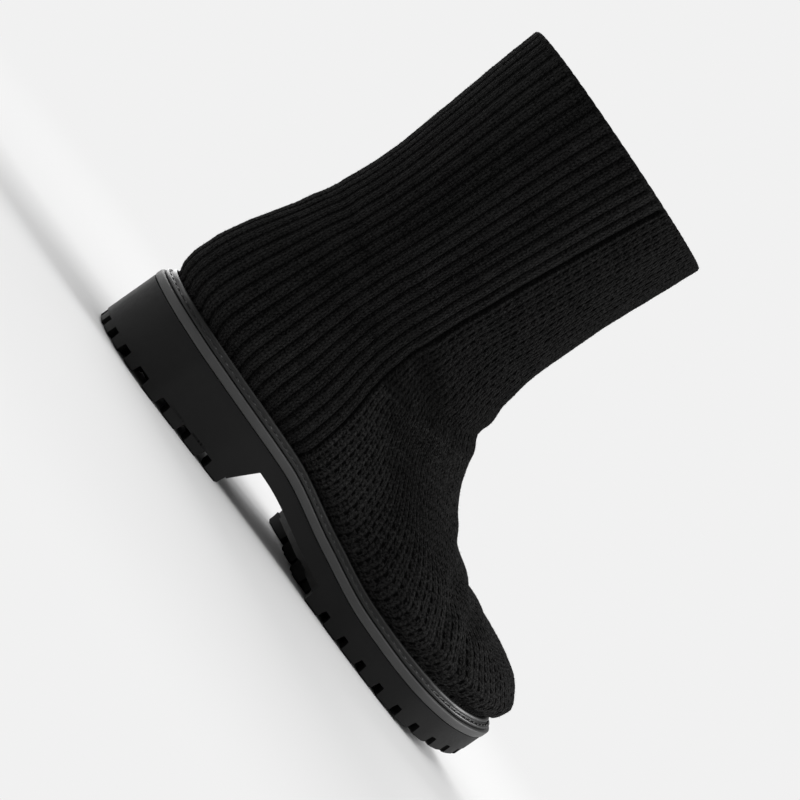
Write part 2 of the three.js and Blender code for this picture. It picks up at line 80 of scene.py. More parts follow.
def tangents(xs: Array, ys: Array) -> Array:
    """Slopes at the rows of a table, level at each turning point.

    Args:
        xs: where the rows lie, rising.
        ys: the values there, with any further axes behind the first.

    Returns:
        An array of the shape of ys.
    """
    steps = np.diff(xs).reshape((-1,) + (1,) * (ys.ndim - 1))
    slopes = np.diff(ys, axis=0) / steps
    before, after = 2 * steps[1:] + steps[:-1], steps[1:] + 2 * steps[:-1]
    same = slopes[:-1] * slopes[1:] > 0
    first = np.where(same, slopes[:-1], 1)
    second = np.where(same, slopes[1:], 1)
    inside = np.where(same, (before + after) / (before / first + after / second), 0)
    return np.concatenate([slopes[:1], inside, slopes[-1:]])


class Curve:
    """A smooth curve through the rows of a table that never overshoots them."""

    def __init__(self, xs: list[float], ys: list[float]) -> None:
        """Keeps the rows and their slopes."""
        self.xs, self.ys = np.asarray(xs, float), np.asarray(ys, float)
        self.slopes = tangents(self.xs, self.ys)

    def __call__(self, x: Array) -> Array:
        """The curve's value at each x.

        Args:
            x: where the curve is read.

        Returns:
            An array of the shape of x, with any further axes of the rows behind it.
        """
        i = np.clip(np.searchsorted(self.xs, x, side="right") - 1, 0, len(self.xs) - 2)
        step = self.xs[i + 1] - self.xs[i]
        t = np.clip((x - self.xs[i]) / step, 0, 1)
        return hermite(self.ys[i], self.ys[i + 1], self.slopes[i] * step, self.slopes[i + 1] * step, t)


def turn_of(share: Array) -> Array:
    """The turn from 0 at the back to pi at the front that a share of the length stands for."""
    return np.arccos(np.clip(1 - 2 * np.asarray(share, float), -1, 1))


def share_of(turn: Array) -> Array:
    """The share of the length at a turn."""
    return (1 - np.cos(turn)) / 2


def unit(vectors: Array) -> Array:
    """The vectors at length one."""
    return vectors / np.maximum(np.linalg.norm(vectors, axis=-1, keepdims=True), 1e-9)


def wrap(turn: Array) -> Array:
    """The same turns between -pi and pi."""
    return (turn + math.pi) % (2 * math.pi) - math.pi


def full_circle(count: int) -> Array:
    """Even turns once round, from 0 on."""
    return np.linspace(0, 2 * math.pi, count, endpoint=False)


@dataclass
class Last:
    """The form that the boot is built on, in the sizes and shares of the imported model."""

    length: float = 262
    ball_width: float = 94
    heel_wall: float = 29
    breast_wall: float = 25.4
    ball_wall: float = 13.6
    toe_spring: float = 10
    spring_start: float = 0.715
    band_thickness: float = 4
    band_overhang: float = 0.6
    gap: float = 0.3
    knit_wall: float = 2.4
    instep_rise: float = 80
    collar_rise: float = 185
    shaft_width: float = 76
    welt_width: float = 7.1
    welt_height: float = 4.2
    heel_welt_share: float = 0.72
    breast_at: float = 0.302
    tread_start: float = 0.532
    half_steps: int = 720

    # Share of the length, outer half width, inner half width as shares of the ball width
    outline_rows: tuple = (
        (0, 0, 0), (0.05, 0.27, 0.27), (0.12, 0.339, 0.343), (0.24, 0.346, 0.345),
        (0.38, 0.348, 0.327), (0.48, 0.386, 0.341), (0.56, 0.454, 0.389), (0.65, 0.514, 0.45),
        (0.71, 0.52, 0.47), (0.78, 0.487, 0.478), (0.86, 0.415, 0.44), (0.93, 0.3, 0.335),
        (0.975, 0.182, 0.208), (1, 0, 0),
    )
    # Back and front as shares of the length, back and front rise, turn to the heel's level
    level_rows: tuple = (
        (0.0095, 0.9847, 0.125, 0.105, 0), (0.0057, 0.987, 0.215, 0.175, 0),
        (0.0061, 0.97, 0.313, 0.256, 0), (0.0099, 0.94, 0.413, 0.331, 0),
        (0.016, 0.884, 0.513, 0.404, 0), (0.0229, 0.81, 0.6, 0.46, 0),
        (0.0305, 0.729, 0.688, 0.51, 0.1), (0.0382, 0.65, 0.775, 0.6, 0.25),
        (0.0458, 0.584, 0.875, 0.729, 0.45), (0.0523, 0.54, 0.988, 0.9, 0.65),
        (0.0573, 0.516, 1.105, 1.07, 0.85), (0.0592, 0.505, 1.257, 1.238, 1),
        (0.0534, 0.505, 1.495, 1.495, 1), (0.0439, 0.512, 1.78, 1.78, 1),
        (0.0382, 0.518, 2, 2, 1),
    )
    width_places: tuple = (0.1, 0.3, 0.5, 0.7, 0.88, 0.96)
    foot_levels: int = 9
    outer_widths: tuple = (
        (0.302, 0.317, 0.35, 0.468, 0.353, 0.222), (0.313, 0.327, 0.361, 0.479, 0.364, 0.23),
        (0.303, 0.329, 0.357, 0.449, 0.326, 0.2), (0.29, 0.33, 0.35, 0.418, 0.298, 0.184),
        (0.28, 0.325, 0.34, 0.386, 0.259, 0.163), (0.27, 0.32, 0.333, 0.357, 0.262, 0.15),
        (0.266, 0.325, 0.333, 0.345, 0.262, 0.155), (0.266, 0.33, 0.335, 0.335, 0.255, 0.16),
        (0.266, 0.346, 0.351, 0.333, 0.25, 0.163), (0.322, 0.441, 0.454, 0.421, 0.307, 0.19),
        (0.322, 0.447, 0.474, 0.434, 0.316, 0.2), (0.322, 0.454, 0.487, 0.447, 0.329, 0.205),
        (0.329, 0.461, 0.5, 0.461, 0.336, 0.21), (0.336, 0.467, 0.507, 0.467, 0.342, 0.213),
        (0.336, 0.467, 0.507, 0.467, 0.342, 0.213),
    )
    inner_widths: tuple = (
        (0.302, 0.311, 0.3, 0.412, 0.378, 0.255), (0.313, 0.321, 0.311, 0.423, 0.389, 0.264),
        (0.303, 0.323, 0.307, 0.395, 0.341, 0.226), (0.29, 0.323, 0.305, 0.365, 0.306, 0.205),
        (0.28, 0.32, 0.3, 0.335, 0.256, 0.171), (0.27, 0.32, 0.307, 0.315, 0.245, 0.148),
        (0.266, 0.325, 0.319, 0.31, 0.24, 0.148), (0.266, 0.335, 0.33, 0.315, 0.238, 0.152),
        (0.266, 0.356, 0.35, 0.325, 0.24, 0.158), (0.322, 0.454, 0.467, 0.428, 0.307, 0.19),
        (0.322, 0.461, 0.487, 0.434, 0.316, 0.2), (0.322, 0.454, 0.487, 0.447, 0.329, 0.205),
        (0.329, 0.461, 0.5, 0.461, 0.336, 0.21), (0.336, 0.467, 0.507, 0.467, 0.342, 0.213),
        (0.336, 0.467, 0.507, 0.467, 0.342, 0.213),
    )

    def half_width(self, column: int) -> Curve:
        """Half width of the sole over the turn, from a column of the outline's rows."""
        rows = self.outline_rows
        return Curve([turn_of(r[0]) for r in rows], [r[column] * self.ball_width for r in rows])

    @cached_property
    def outer_half(self) -> Curve:
        """Half width of the sole on the outer side, over the turn."""
        return self.half_width(1)

    @cached_property
    def inner_half(self) -> Curve:
        """Half width of the sole on the inner side, over the turn."""
        return self.half_width(2)

    @property
    def breast(self) -> float:
        """Where the heel block ends, from the back of the sole."""
        return self.breast_at * self.length

    @property
    def tread(self) -> float:
        """Where the tread of the forefoot starts, from the back of the sole."""
        return self.tread_start * self.length

    @cached_property
    def wall_height(self) -> Curve:
        """Height of the moulded wall above the tread line, over the share of the length."""
        fall = self.breast_wall - self.ball_wall
        rows = (
            (0, self.heel_wall), (0.18, (self.heel_wall + self.breast_wall) / 2), (0.35, self.breast_wall),
            (0.5, self.ball_wall + fall * 0.41), (0.63, self.ball_wall + fall * 0.03),
            (0.72, self.ball_wall), (1, self.ball_wall),
        )
        return Curve([r[0] for r in rows], [r[1] for r in rows])

    @cached_property
    def middle(self) -> Array:
        """The place in the last's sizes where the frame has its origin."""
        widest = [max(r[k] for r in self.outline_rows) * self.ball_width for k in (1, 2)]
        return np.array([self.length / 2, (widest[0] - widest[1]) / 2, 0.0])

    def tread_z(self, x: Array) -> Array:
        """Height of the tread line, which rises to the tip."""
        past = np.maximum(0, x / self.length - self.spring_start) / (1 - self.spring_start)
        return self.toe_spring * past**2

    def wall_top(self, x: Array) -> Array:
        """Height of the moulded wall's top edge."""
        return self.wall_height(np.clip(x / self.length, 0, 1)) + self.tread_z(x)

    def seat(self, x: Array) -> Array:
        """Height of the band's top, which carries welt, insole and upper."""
        return self.wall_top(x) + self.gap + self.band_thickness

    def welt_at(self, x: Array) -> Array:
        """Width of the welt, which narrows to the heel."""
        share = smoothstep(x / self.length, self.breast_at, self.tread_start)
        return self.welt_width * (self.heel_welt_share + (1 - self.heel_welt_share) * share)

    def outline(self, phi: Array) -> Array:
        """The sole's outline at angles from -pi to pi: 0 is the back, the inner side is positive.

        Args:
            phi: the angles.

        Returns:
            One row of x and y for each angle.
        """
        turn = np.abs(phi)
        y = np.where(phi >= 0, -self.inner_half(turn), self.outer_half(turn))
        return np.stack([share_of(turn) * self.length, y], axis=-1)

    def outline_inset(self, phi: Array, amount: float | Field) -> Array:
        """The outline moved inwards.

        Args:
            phi: angles as in outline.
            amount: how far, or a function of the place along the sole.

        Returns:
            One row of x and y for each angle.
        """
        points = self.outline(phi)
        step = 0.01
        ahead, behind = phi + step, phi - step
        along = unit(self.outline(wrap(ahead)) - self.outline(wrap(behind)))
        width = amount(points[:, 0]) if callable(amount) else amount
        return points + np.stack([-along[:, 1] * width, along[:, 0] * width], axis=-1)

    def rise(self, share: float) -> float:
        """A rise above the seat: up to 1 a share of the instep's, past 1 of the shaft above it."""
        return min(share, 1) * self.instep_rise + max(share - 1, 0) * (self.collar_rise - self.instep_rise)

    def level_ring(self, index: int, phi: Array) -> Array:
        """One level of the upper's outer face.

        Args:
            index: the level, counted from the sole.
            phi: angles as in outline.

        Returns:
            One row of x, y and z for each angle.
        """
        back, front, back_rise, front_rise, level = self.level_rows[index]
        scale = self.ball_width if index < self.foot_levels else self.shaft_width
        places = turn_of(np.array([0, *self.width_places, 1]))
        inner = Curve(places, np.array([0, *self.inner_widths[index], 0]) * scale)
        outer = Curve(places, np.array([0, *self.outer_widths[index], 0]) * scale)
        turn = np.abs(phi)
        share = share_of(turn)
        x = (back + (front - back) * share) * self.length
        seat = self.seat(x) * (1 - level) + self.seat(np.zeros(1)) * level
        height = self.rise(back_rise) * (1 - share) + self.rise(front_rise) * share
        y = np.where(phi >= 0, -inner(turn), outer(turn))
        return np.stack([x, y, seat + height], axis=-1)

    @cached_property
    def table(self) -> tuple[Array, Array]:
        """The upper's rings at fine angles, and their slopes from ring to ring."""
        phi = np.linspace(-math.pi, math.pi, 2 * self.half_steps + 1)
        foot = self.outline_inset(phi, lambda x: self.welt_at(x) + self.gap)
        seat = self.seat(foot[:, 0])
        rings = [np.column_stack([foot, seat + lift]) for lift in (self.gap, self.welt_height + 2 * self.gap)]
        rings += [self.level_ring(index, phi) for index in range(len(self.level_rows))]
        stack = np.array(rings)
        return stack, tangents(np.arange(len(rings), dtype=float), stack)

    @property
    def top(self) -> int:
        """The ring number of the collar."""
        return len(self.level_rows) + 1

    def surface(self, phi: Array, v: Array) -> Array:
        """Points of the upper's outer face.

        Args:
            phi: angles, any turn of them, with 0 at the back and the inner side positive.
            v: ring numbers from 0 at the sole edge to the collar, whole or between.

        Returns:
            An array of the shape of phi with x, y and z behind it.
        """
        rings, slopes = self.table
        place = ((phi + math.pi) % (2 * math.pi)) / math.pi * self.half_steps
        column = np.clip(place.astype(int), 0, 2 * self.half_steps - 1)
        part = (place - column)[..., None]
        row = np.clip(v.astype(int), 0, self.top - 1)
        t = np.clip(v - row, 0, 1)[..., None]
        pick = lambda data, r: data[r, column] * (1 - part) + data[r, column + 1] * part
        return hermite(pick(rings, row), pick(rings, row + 1), pick(slopes, row), pick(slopes, row + 1), t)


LAST = Last()


def into_frame(points: Array) -> Array:
    """Points in the last's millimetres as points in the frame's metres."""
    return (points - LAST.middle) * METRES


def outward(grid: Array, closed: bool = False) -> Array:
    """Normals of a grid of points whose columns run anticlockwise and whose rows run up.

    Args:
        grid: points by row, column and axis.
        closed: whether the last column is a neighbour of the first.

    Returns:
        A unit vector for each point.
    """
    if closed:
        around = np.roll(grid, -1, axis=1) - np.roll(grid, 1, axis=1)
    else:
        around = np.gradient(grid, axis=1)
    return unit(np.cross(around, np.gradient(grid, axis=0)))


def quads(rows: int, columns: int, wrap_rows: bool = False, wrap_columns: bool = False) -> Array:
    """Faces of a grid of points that is counted row by row.

    Args:
        rows: how many rows of points.
        columns: how many points in a row.
        wrap_rows: whether the last row joins the first.
        wrap_columns: whether the last column joins the first.

    Returns:
        Four point numbers for each face.
    """
    r = np.arange(rows if wrap_rows else rows - 1)
    c = np.arange(columns if wrap_columns else columns - 1)
    r0, c0 = np.meshgrid(r, c, indexing="ij")
    r1, c1 = (r0 + 1) % rows, (c0 + 1) % columns
    at = lambda row, column: row * columns + column
    return np.stack([at(r0, c0), at(r0, c1), at(r1, c1), at(r1, c0)], axis=-1).reshape(-1, 4)


def show(name: str, data: bpy.types.ID) -> Piece:
    """A new object for a mesh, light or camera, linked to the scene.

    Args:
        name: its name.
        data: the mesh, light or camera that it shows.

    Returns:
        The new object.
    """
    made = bpy.data.objects.new(name, data)
    bpy.context.scene.collection.objects.link(made)
    return made


def make_object(name: str, points: Array, faces: Faces | Array) -> Piece:
    """A smooth mesh object at the origin from points in the last's millimetres.

    Args:
        name: the piece's name.
        points: its points, in any array whose last axis is x, y and z.
        faces: point numbers of each face.

    Returns:
        The new object, linked to the scene.
    """
    mesh = bpy.data.meshes.new(name)
    flat = into_frame(np.asarray(points, float).reshape(-1, 3))
    mesh.from_pydata(flat.tolist(), [], faces if isinstance(faces, list) else faces.tolist())
    mesh.shade_smooth()
    return show(name, mesh)


def pad_grid(grid: Array) -> Array:
    """A grid with the points of its edges doubled all round."""
    return np.pad(grid, ((1, 1), (1, 1)) + ((0, 0),) * (grid.ndim - 2), mode="edge")


def ring_caps(count: int, first: int, upward: bool) -> Faces:
    """Faces across a ring of points from side to side, from its back to its front.

    Args:
        count: how many points the ring has.
        first: the number of its first point.
        upward: whether the faces look up.

    Returns:
        Point numbers of each face.
    """
    faces = []
    for i in range(count // 2):
        a, b = first + i, first + i + 1
        c, d = first + (count - i - 1) % count, first + (count - i) % count
        corners = [p for k, p in enumerate((a, b, c, d)) if p not in (a, b, c, d)[:k]]
        faces.append(corners if upward else corners[::-1])
    return faces


def dress(piece: Piece, material: Material, slot: str, *nodes: str) -> None:
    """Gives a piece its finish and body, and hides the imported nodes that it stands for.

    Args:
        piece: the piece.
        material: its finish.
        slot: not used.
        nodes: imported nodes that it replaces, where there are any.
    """
    piece.data.materials.clear()
    piece.data.materials.append(material)
    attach(piece, BODY)
    if nodes:
        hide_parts(*nodes)
    log.info("%s: %d faces", piece.name, len(piece.data.polygons))


@dataclass(frozen=True)
class Wire:
    """A node's output, which sums and products are written with as with a number."""

    bench: "Bench"
    socket: Socket

    def __add__(self, other: "Wire | float") -> "Wire":
        """The sum."""
        return self.bench.math("ADD", self, other)

    def __sub__(self, other: "Wire | float") -> "Wire":
        """The difference."""
        return self.bench.math("SUBTRACT", self, other)

    def __mul__(self, other: "Wire | float") -> "Wire":
        """The product."""
        return self.bench.math("MULTIPLY", self, other)

    def __abs__(self) -> "Wire":
        """The value without its sign."""
        return self.bench.math("ABSOLUTE", self)


class Bench:
    """Sets up and links the nodes of one tree."""

    def __init__(self, tree: bpy.types.NodeTree) -> None:
        """Keeps the tree that is worked on."""
        self.tree = tree

    @classmethod
    def for_material(cls, name: str) -> tuple["Bench", Material]:
        """A new material and the bench for its tree.

        Args:
            name: the material's name.

        Returns:
            The bench and the material.
        """
        material = bpy.data.materials.new(name)
        material.use_nodes = True
        material.node_tree.nodes.clear()
        return cls(material.node_tree), material

    @classmethod
    def for_geometry(cls, name: str, inputs: dict[str, str]) -> tuple["Bench", bpy.types.NodeOutputs]:
        """A new tree of geometry nodes with named inputs.

        Args:
            name: the tree's name.
            inputs: for each input's name its kind of socket.

        Returns:
            The bench for the tree, and what the inputs give, by name.
        """
        tree = bpy.data.node_groups.new(name, "GeometryNodeTree")
        for label, kind in inputs.items():
            tree.interface.new_socket(label, in_out="INPUT", socket_type="NodeSocket" + kind)
        tree.interface.new_socket("Geometry", in_out="OUTPUT", socket_type="NodeSocketGeometry")
        bench = cls(tree)
        return bench, bench.node("NodeGroupInput").outputs

    def node(self, kind: str, sockets: dict | None = None, **settings: object) -> bpy.types.Node:
        """Adds a node.

        Args:
            kind: the node's type name.
            sockets: for each input its value or the output that feeds it.
            settings: the node's own properties.

        Returns:
            The new node.
        """
        node = self.tree.nodes.new(kind)
        for key, value in settings.items():
            setattr(node, key, value)
        for key, value in (sockets or {}).items():
            source = value.socket if isinstance(value, Wire) else value
            if isinstance(source, Socket):
                self.tree.links.new(source, node.inputs[key])
            else:
                node.inputs[key].default_value = source
        return node

    def wire(self, kind: str, sockets: dict | None = None, output: int | str = 0, **settings: object) -> Wire:
        """Adds a node as above and gives the output of that number or name."""
        return Wire(self, self.node(kind, sockets, **settings).outputs[output])

    def math(self, operation: str, *values: Wire | float) -> Wire:
        """The result of a Math node on values or outputs."""
        return self.wire("ShaderNodeMath", dict(enumerate(values)), operation=operation)

    def split(self, vector: Wire | Socket) -> list[Wire]:
        """The three parts of a vector."""
        return [Wire(self, part) for part in self.node("ShaderNodeSeparateXYZ", {0: vector}).outputs]

    @cached_property
    def place(self) -> Wire:
        """The place on the piece, in its own coordinates."""
        return self.wire("ShaderNodeTexCoord", output="Object")

    def noise(self, size: float, detail: float = 3, roughness: float = 0.6) -> Wire:
        """A noise whose grains are about size millimetres wide.

        Args:
            size: width of a grain in millimetres.
            detail: how many finer layers it has.
            roughness: how strong the finer layers are.

        Returns:
            A value from 0 to 1.
        """
        scale = 1 / (size * METRES)
        sockets = {"Vector": self.place, "Scale": scale, "Detail": detail, "Roughness": roughness}
        return self.wire("ShaderNodeTexNoise", sockets)

    def ramp(self, value: Wire, low: float, high: float, start: float = 0, end: float = 1) -> Wire:
        """Goes evenly from start at low to end at high."""
        return self.wire("ShaderNodeMapRange", {0: value, 1: low, 2: high, 3: start, 4: end})

    def soft(self, value: Wire, low: float, high: float) -> Wire:
        """A soft step from 0 at low to 1 at high."""
        ends = {0: value, 1: low, 2: high}
        return self.wire("ShaderNodeMapRange", ends, interpolation_type="SMOOTHSTEP")

    def between(self, tone: Wire, middle: float, reach: float, dark: tuple, light: tuple) -> Wire:
        """A colour that goes from dark to light where the tone is within reach of its middle."""
        share = self.ramp(tone, middle - reach, middle + reach)
        return self.wire("ShaderNodeMix", {0: share, 6: (*dark, 1), 7: (*light, 1)}, 2, data_type="RGBA")

    def bump(self, height: Wire, depth: float) -> Wire:
        """The normal of a surface with a relief of depth millimetres."""
        return self.wire("ShaderNodeBump", {"Height": height, "Distance": depth * METRES, "Strength": 1})

    def close(self, sockets: dict) -> None:
        """Ends a material in a principled surface."""
        shader = self.wire("ShaderNodeBsdfPrincipled", sockets)
        self.node("ShaderNodeOutputMaterial", {"Surface": shader})

    def lay(self, finish: Socket, smooth: bool, sockets: dict) -> None:
        """Ends a tree of geometry nodes in real copies of an instance.

        Args:
            finish: what gives their material.
            smooth: whether they are shaded smooth.
            sockets: the points, the instance and how it is turned and sized.
        """
        laid = self.wire("GeometryNodeInstanceOnPoints", sockets)
        real = self.wire("GeometryNodeRealizeInstances", {0: laid})
        if smooth:
            real = self.wire("GeometryNodeSetShadeSmooth", {0: real})
        made = self.wire("GeometryNodeSetMaterial", {"Geometry": real, "Material": finish})
        self.node("NodeGroupOutput", {0: made})


def grey(level: float, tint: float = 0.0) -> tuple[float, float, float]:
    """A neutral colour, a touch cooler for a higher tint."""
    return (level * (1 - tint), level, level * (1 + tint))


@dataclass(frozen=True)
class Rubber:
    """A moulded rubber: its tone, its grain and its gloss, with sizes in millimetres."""

    name: str
    dark: float
    light: float
    roughness: float
    grain: float
    grain_height: float
    specular: float = 0.25
    coat: float = 0.0
    coat_roughness: float = 0.3
    is_sanded: bool = False
    cloud: float = 28
    rub: float = 2.3
    sand: float = 0.9

    def material(self) -> Material:
        """Builds the finish: grain as bump, cloudy tone, and sandier faces where it points down.

        Returns:
            The material.
        """
        bench, material = Bench.for_material(self.name)
        rub = bench.noise(self.rub, 5, 0.65)
        tone = bench.noise(self.cloud, 3) * 0.6 + rub * 0.4
        height = rub * 0.35 + bench.noise(self.grain, 4, 0.7)
        if self.is_sanded:
            up = bench.split(bench.wire("ShaderNodeNewGeometry", output="Normal"))[2]
            height = bench.ramp(up, -0.75, -0.95, 0, 3) * bench.noise(self.sand, 3, 0.8) + height
        bench.close({
            "Base Color": bench.between(tone, 0.5, 0.15, grey(self.dark), grey(self.light)),
            "Roughness": bench.ramp(rub, 0.3, 0.7, self.roughness - 0.07, self.roughness + 0.07),
            "Normal": bench.bump(height, self.grain_height), "Specular IOR Level": self.specular,
            "Coat Weight": self.coat, "Coat Roughness": self.coat_roughness,
        })
        return material


@dataclass(frozen=True)
class Wool:
    """A knitted wool: slanted loops in wales, with fibres over them and slits where it is a lattice, its
    colour darkened with painted shade in its valleys, grooves and slits.
    """

    name: str
    wales: float
    stitch: float
    loop_height: float = 0.55
    dark: float = 0.0013
    light: float = 0.03
    contrast: float = 0.42
    slant: float = 1.1
    period: float = 0.0
    slit: float = 0.62
    fibre: float = 1.0
    hair: float = 0.42
    patch: float = 9
    strand: float = 3.4

    def slits(self, bench: Bench, across: Wire, along: Wire, phase: float) -> Wire:
        """The slits of a lattice, darkened by the finish as painted shade, whose columns are shifted as the
        relief's are.

        Args:
            bench: the material's bench.
            across: columns counted over the field.
            along: millimetres from the sole edge.
            phase: tells one number of columns from another.

        Returns:
            1 in the middle of a slit, 0 beside it.
        """
        column = bench.math("FLOOR", across + 0.5)
        odd = bench.math("FLOORED_MODULO", column, 2.0)
        shift = bench.math("SINE", column * SHIFT_TURN + phase) * SHIFT
        cells = along * (1 / self.period) + odd * 0.5 + shift
        row = bench.math("FLOOR", cells)
        cell = bench.wire("ShaderNodeCombineXYZ", {0: column, 1: row, 2: phase})
        drawn = bench.node("ShaderNodeTexWhiteNoise", {"Vector": cell}, noise_dimensions="3D").outputs
        chance, (up, aside, _) = Wire(bench, drawn[0]), bench.split(drawn[1])
        from_middle = abs(cells - row - (up * 0.18 + 0.41))
        beside = abs(across - column - 0.06 + aside * 0.12)
        reach = chance * 0.16 + (self.slit / 2 - 0.08)
        ends = bench.soft(reach - from_middle, 0.0, 0.12)
        return ends * bench.soft(beside, 0.2, 0.03) * (chance * 0.8 + 0.2)

    def material(self) -> Material:
        """Builds the finish from the knit map, whose x counts ribs and whose y is in millimetres.

        Returns:
            The material.
        """
        bench, material = Bench.for_material(self.name)
        across, along, _ = bench.split(bench.wire("ShaderNodeUVMap", uv_map=KNIT_MAP))
        read = lambda name: bench.wire("ShaderNodeAttribute", output="Fac", attribute_name=name)
        fibres, hairs = bench.noise(self.fibre, 5, 0.7), bench.noise(self.hair, 3, 0.8)
        beside = abs(bench.math("FRACT", across * self.wales + fibres * 0.5) - 0.5)
        turn = along * (1 / self.stitch) + beside * self.slant + fibres * 0.7
        valley = bench.math("POWER", beside * 2, 3)
        stitches = bench.math("SINE", turn * (2 * math.pi)) * 0.3 - valley * 0.8
        height = stitches * 1.2 + fibres * 1.5 + hairs * 1.1
        # The tone follows the loops' relief: painted shade in the valleys between wales and a painted
        # highlight on the loop tops; patches and fibres vary it at random
        tone = stitches * 0.2 + bench.noise(self.patch, 4) * 0.25 + fibres + hairs * 0.8
        # Painted shade: the colour darkens where the groove-shade map is low, in the grooves of the ribs and
        # along the seam
        tone = tone * (read(GROOVE_SHADE_MAP) * 0.24 + 0.76)
        if self.period:
            fine = self.slits(bench, across, along, 0.0)
            coarse = self.slits(bench, across * 0.5, along, 1.0)
            moss = read(MOSS_MAP)
            open_work = ((fine - coarse) * read(WIDE_MAP) + coarse) * (moss * -0.75 + 1)
            strands = bench.soft(abs(bench.noise(self.strand, 1, 0.5) - 0.5), 0.035, 0.0) * moss
            height = height - open_work * 2 + strands * 0.9
            # Painted shade darkens the slits, and a painted highlight lightens the raised strands of the moss
            tone = tone - open_work * 0.36 + strands * 0.22
        bench.close({
            "Base Color": bench.between(tone, 1, self.contrast / 2, grey(self.dark), grey(self.light, -0.01)),
            "Roughness": 0.95, "Normal": bench.bump(height, self.loop_height), "Specular IOR Level": 0.03,
            "Sheen Weight": 0.014, "Sheen Roughness": 0.55, "Sheen Tint": (1, 1, 1, 1),
        })
        return material


@dataclass(frozen=True)
class Felt:
    """A pressed lining or insole cloth."""

    name: str
    dark: float
    light: float
    fibre: float = 0.8
    patch: float = 14
    nap: float = 0.25

    def material(self) -> Material:
        """Builds the finish: short crossing fibres and soft patches.

        Returns:
            The material.
        """
        bench, material = Bench.for_material(self.name)
        fibres = bench.noise(self.fibre, 6, 0.75)
        tone = fibres * 0.7 + bench.noise(self.patch, 3) * 0.3
        bench.close({
            "Base Color": bench.between(tone, 0.5, 0.15, grey(self.dark), grey(self.light)),
            "Roughness": 0.95, "Normal": bench.bump(fibres, self.nap), "Specular IOR Level": 0.1,
            "Sheen Weight": 0.1, "Sheen Roughness": 0.5,
        })
        return material


class Zone(Enum):
    """The knitted fields of the upper."""

    HEEL = "knit_heel"
    BACK = "knit_shaft_back"
    VAMP = "knit_vamp"
    FRONT = "knit_shaft_front"

    @property
    def is_back(self) -> bool:
        """Whether it lies behind the seam, where the upper is ribbed."""
        return self in (Zone.HEEL, Zone.BACK)

    @property
    def is_low(self) -> bool:
        """Whether it stands on the sole."""
        return self in (Zone.HEEL, Zone.VAMP)


@dataclass(frozen=True)
class Fold:
    """A soft crease in the side view: a trough with a ridge on each side.

    The points are x and z in millimetres, the same on both sides of the boot.
    """

    points: tuple
    depth: float
    width: float

    def lift(self, points: Array) -> Array:
        """How far the face moves out at each point, in millimetres.

        Args:
            points: points of the face, in millimetres.

        Returns:
            A value for each point, below 0 in the trough.
        """
        near = np.full(points.shape[:-1], np.inf)
        flat = points[..., [0, 2]]
        for start, end in zip(self.points[:-1], self.points[1:]):
            a, b = np.array(start, float), np.array(end, float)
            t = np.clip(((flat - a) @ (b - a)) / ((b - a) @ (b - a)), 0, 1)[..., None]
            near = np.minimum(near, np.linalg.norm(flat - (a + t * (b - a)), axis=-1))
        bell = lambda d: np.exp(-((d / self.width) ** 2))
        return self.depth * (0.45 * bell(near - 1.9 * self.width) - bell(near))


FOLDS = (
    Fold(((84, 99), (106, 91), (128, 97), (140, 101)), 1.5, 4.5),
    Fold(((96, 76), (118, 72), (137, 80)), 0.9, 4.5),
    Fold(((176, 66), (183, 56), (192, 40)), 0.8, 4.5),
    Fold(((197, 60), (203, 50), (210, 36)), 1.1, 4),
    Fold(((20, 110), (34, 106), (50, 112)), 0.7, 5),
    Fold(((26, 93), (40, 88), (58, 91)), 0.5, 4.5),
    Fold(((60, 128), (84, 122), (112, 131)), 0.6, 7),
)


@dataclass(frozen=True)
class Ribs:
    """Upright ribs with narrow grooves between them."""

    count: int
    height: float
    squareness: float

    def relief(self, grid: dict[str, Array]) -> Array:
        """Millimetres above the groove at each point of a field's grid.

        Args:
            grid: the field's shares across.

        Returns:
            A height for each point.
        """
        place = grid["across"] * self.count
        uneven = 1 + 0.16 * np.sin(np.floor(place) * 5.17)
        side = np.abs(2 * (place % 1) - 1)
        return self.height * (1 - side**self.squareness) * uneven


@dataclass(frozen=True)
class Lattice:
    """Short raised pillows with dark slits between them, set off by half a length."""

    count: int
    height: float
    period: float
    slit: float
    merge: tuple = (2.0, 2.6)

    def wide(self, width: Array) -> Array:
        """1 where the field is wide enough for every column, 0 where pairs of them have merged."""
        return smoothstep(width / self.count, *self.merge)

    def layer(self, grid: dict[str, Array], count: int, phase: float) -> Array:
        """The relief of one number of columns.

        Args:
            grid: the field's shares across and lengths along.
            count: how many columns the field is wide.
            phase: tells one number of columns from another.

        Returns:
            A height for each point.
        """
        place, walked = grid["across"] * count, grid["along"] / self.period
        column = np.floor(place + 0.5)
        shifted = walked + 0.5 * (column % 2) + SHIFT * np.sin(column * SHIFT_TURN + phase)
        deep = 0.62 + 0.38 * np.sin(column * 78.233 + np.floor(shifted) * 37.719)
        ends = smoothstep(self.slit / 2 - np.abs(shifted % 1 - 0.5), 0, 0.14)
        slit = deep * ends * np.exp(-(((place - column) / 0.17) ** 2))
        centre = np.floor(place)
        pillow = 0.5 + 0.5 * np.cos(2 * np.pi * (walked * 2 + 0.5 * (centre % 2)))
        dome = np.cos(np.pi * (place - centre - 0.5))
        return self.height * (0.8 + 0.1 * dome * (1 + pillow) - 0.6 * slit)

    def relief(self, grid: dict[str, Array]) -> Array:
        """Relief as in Ribs, with half as many columns where the field has narrowed."""
        wide = self.wide(grid["width"])
        return wide * self.layer(grid, self.count, 0) + (1 - wide) * self.layer(grid, self.count // 2, 1)


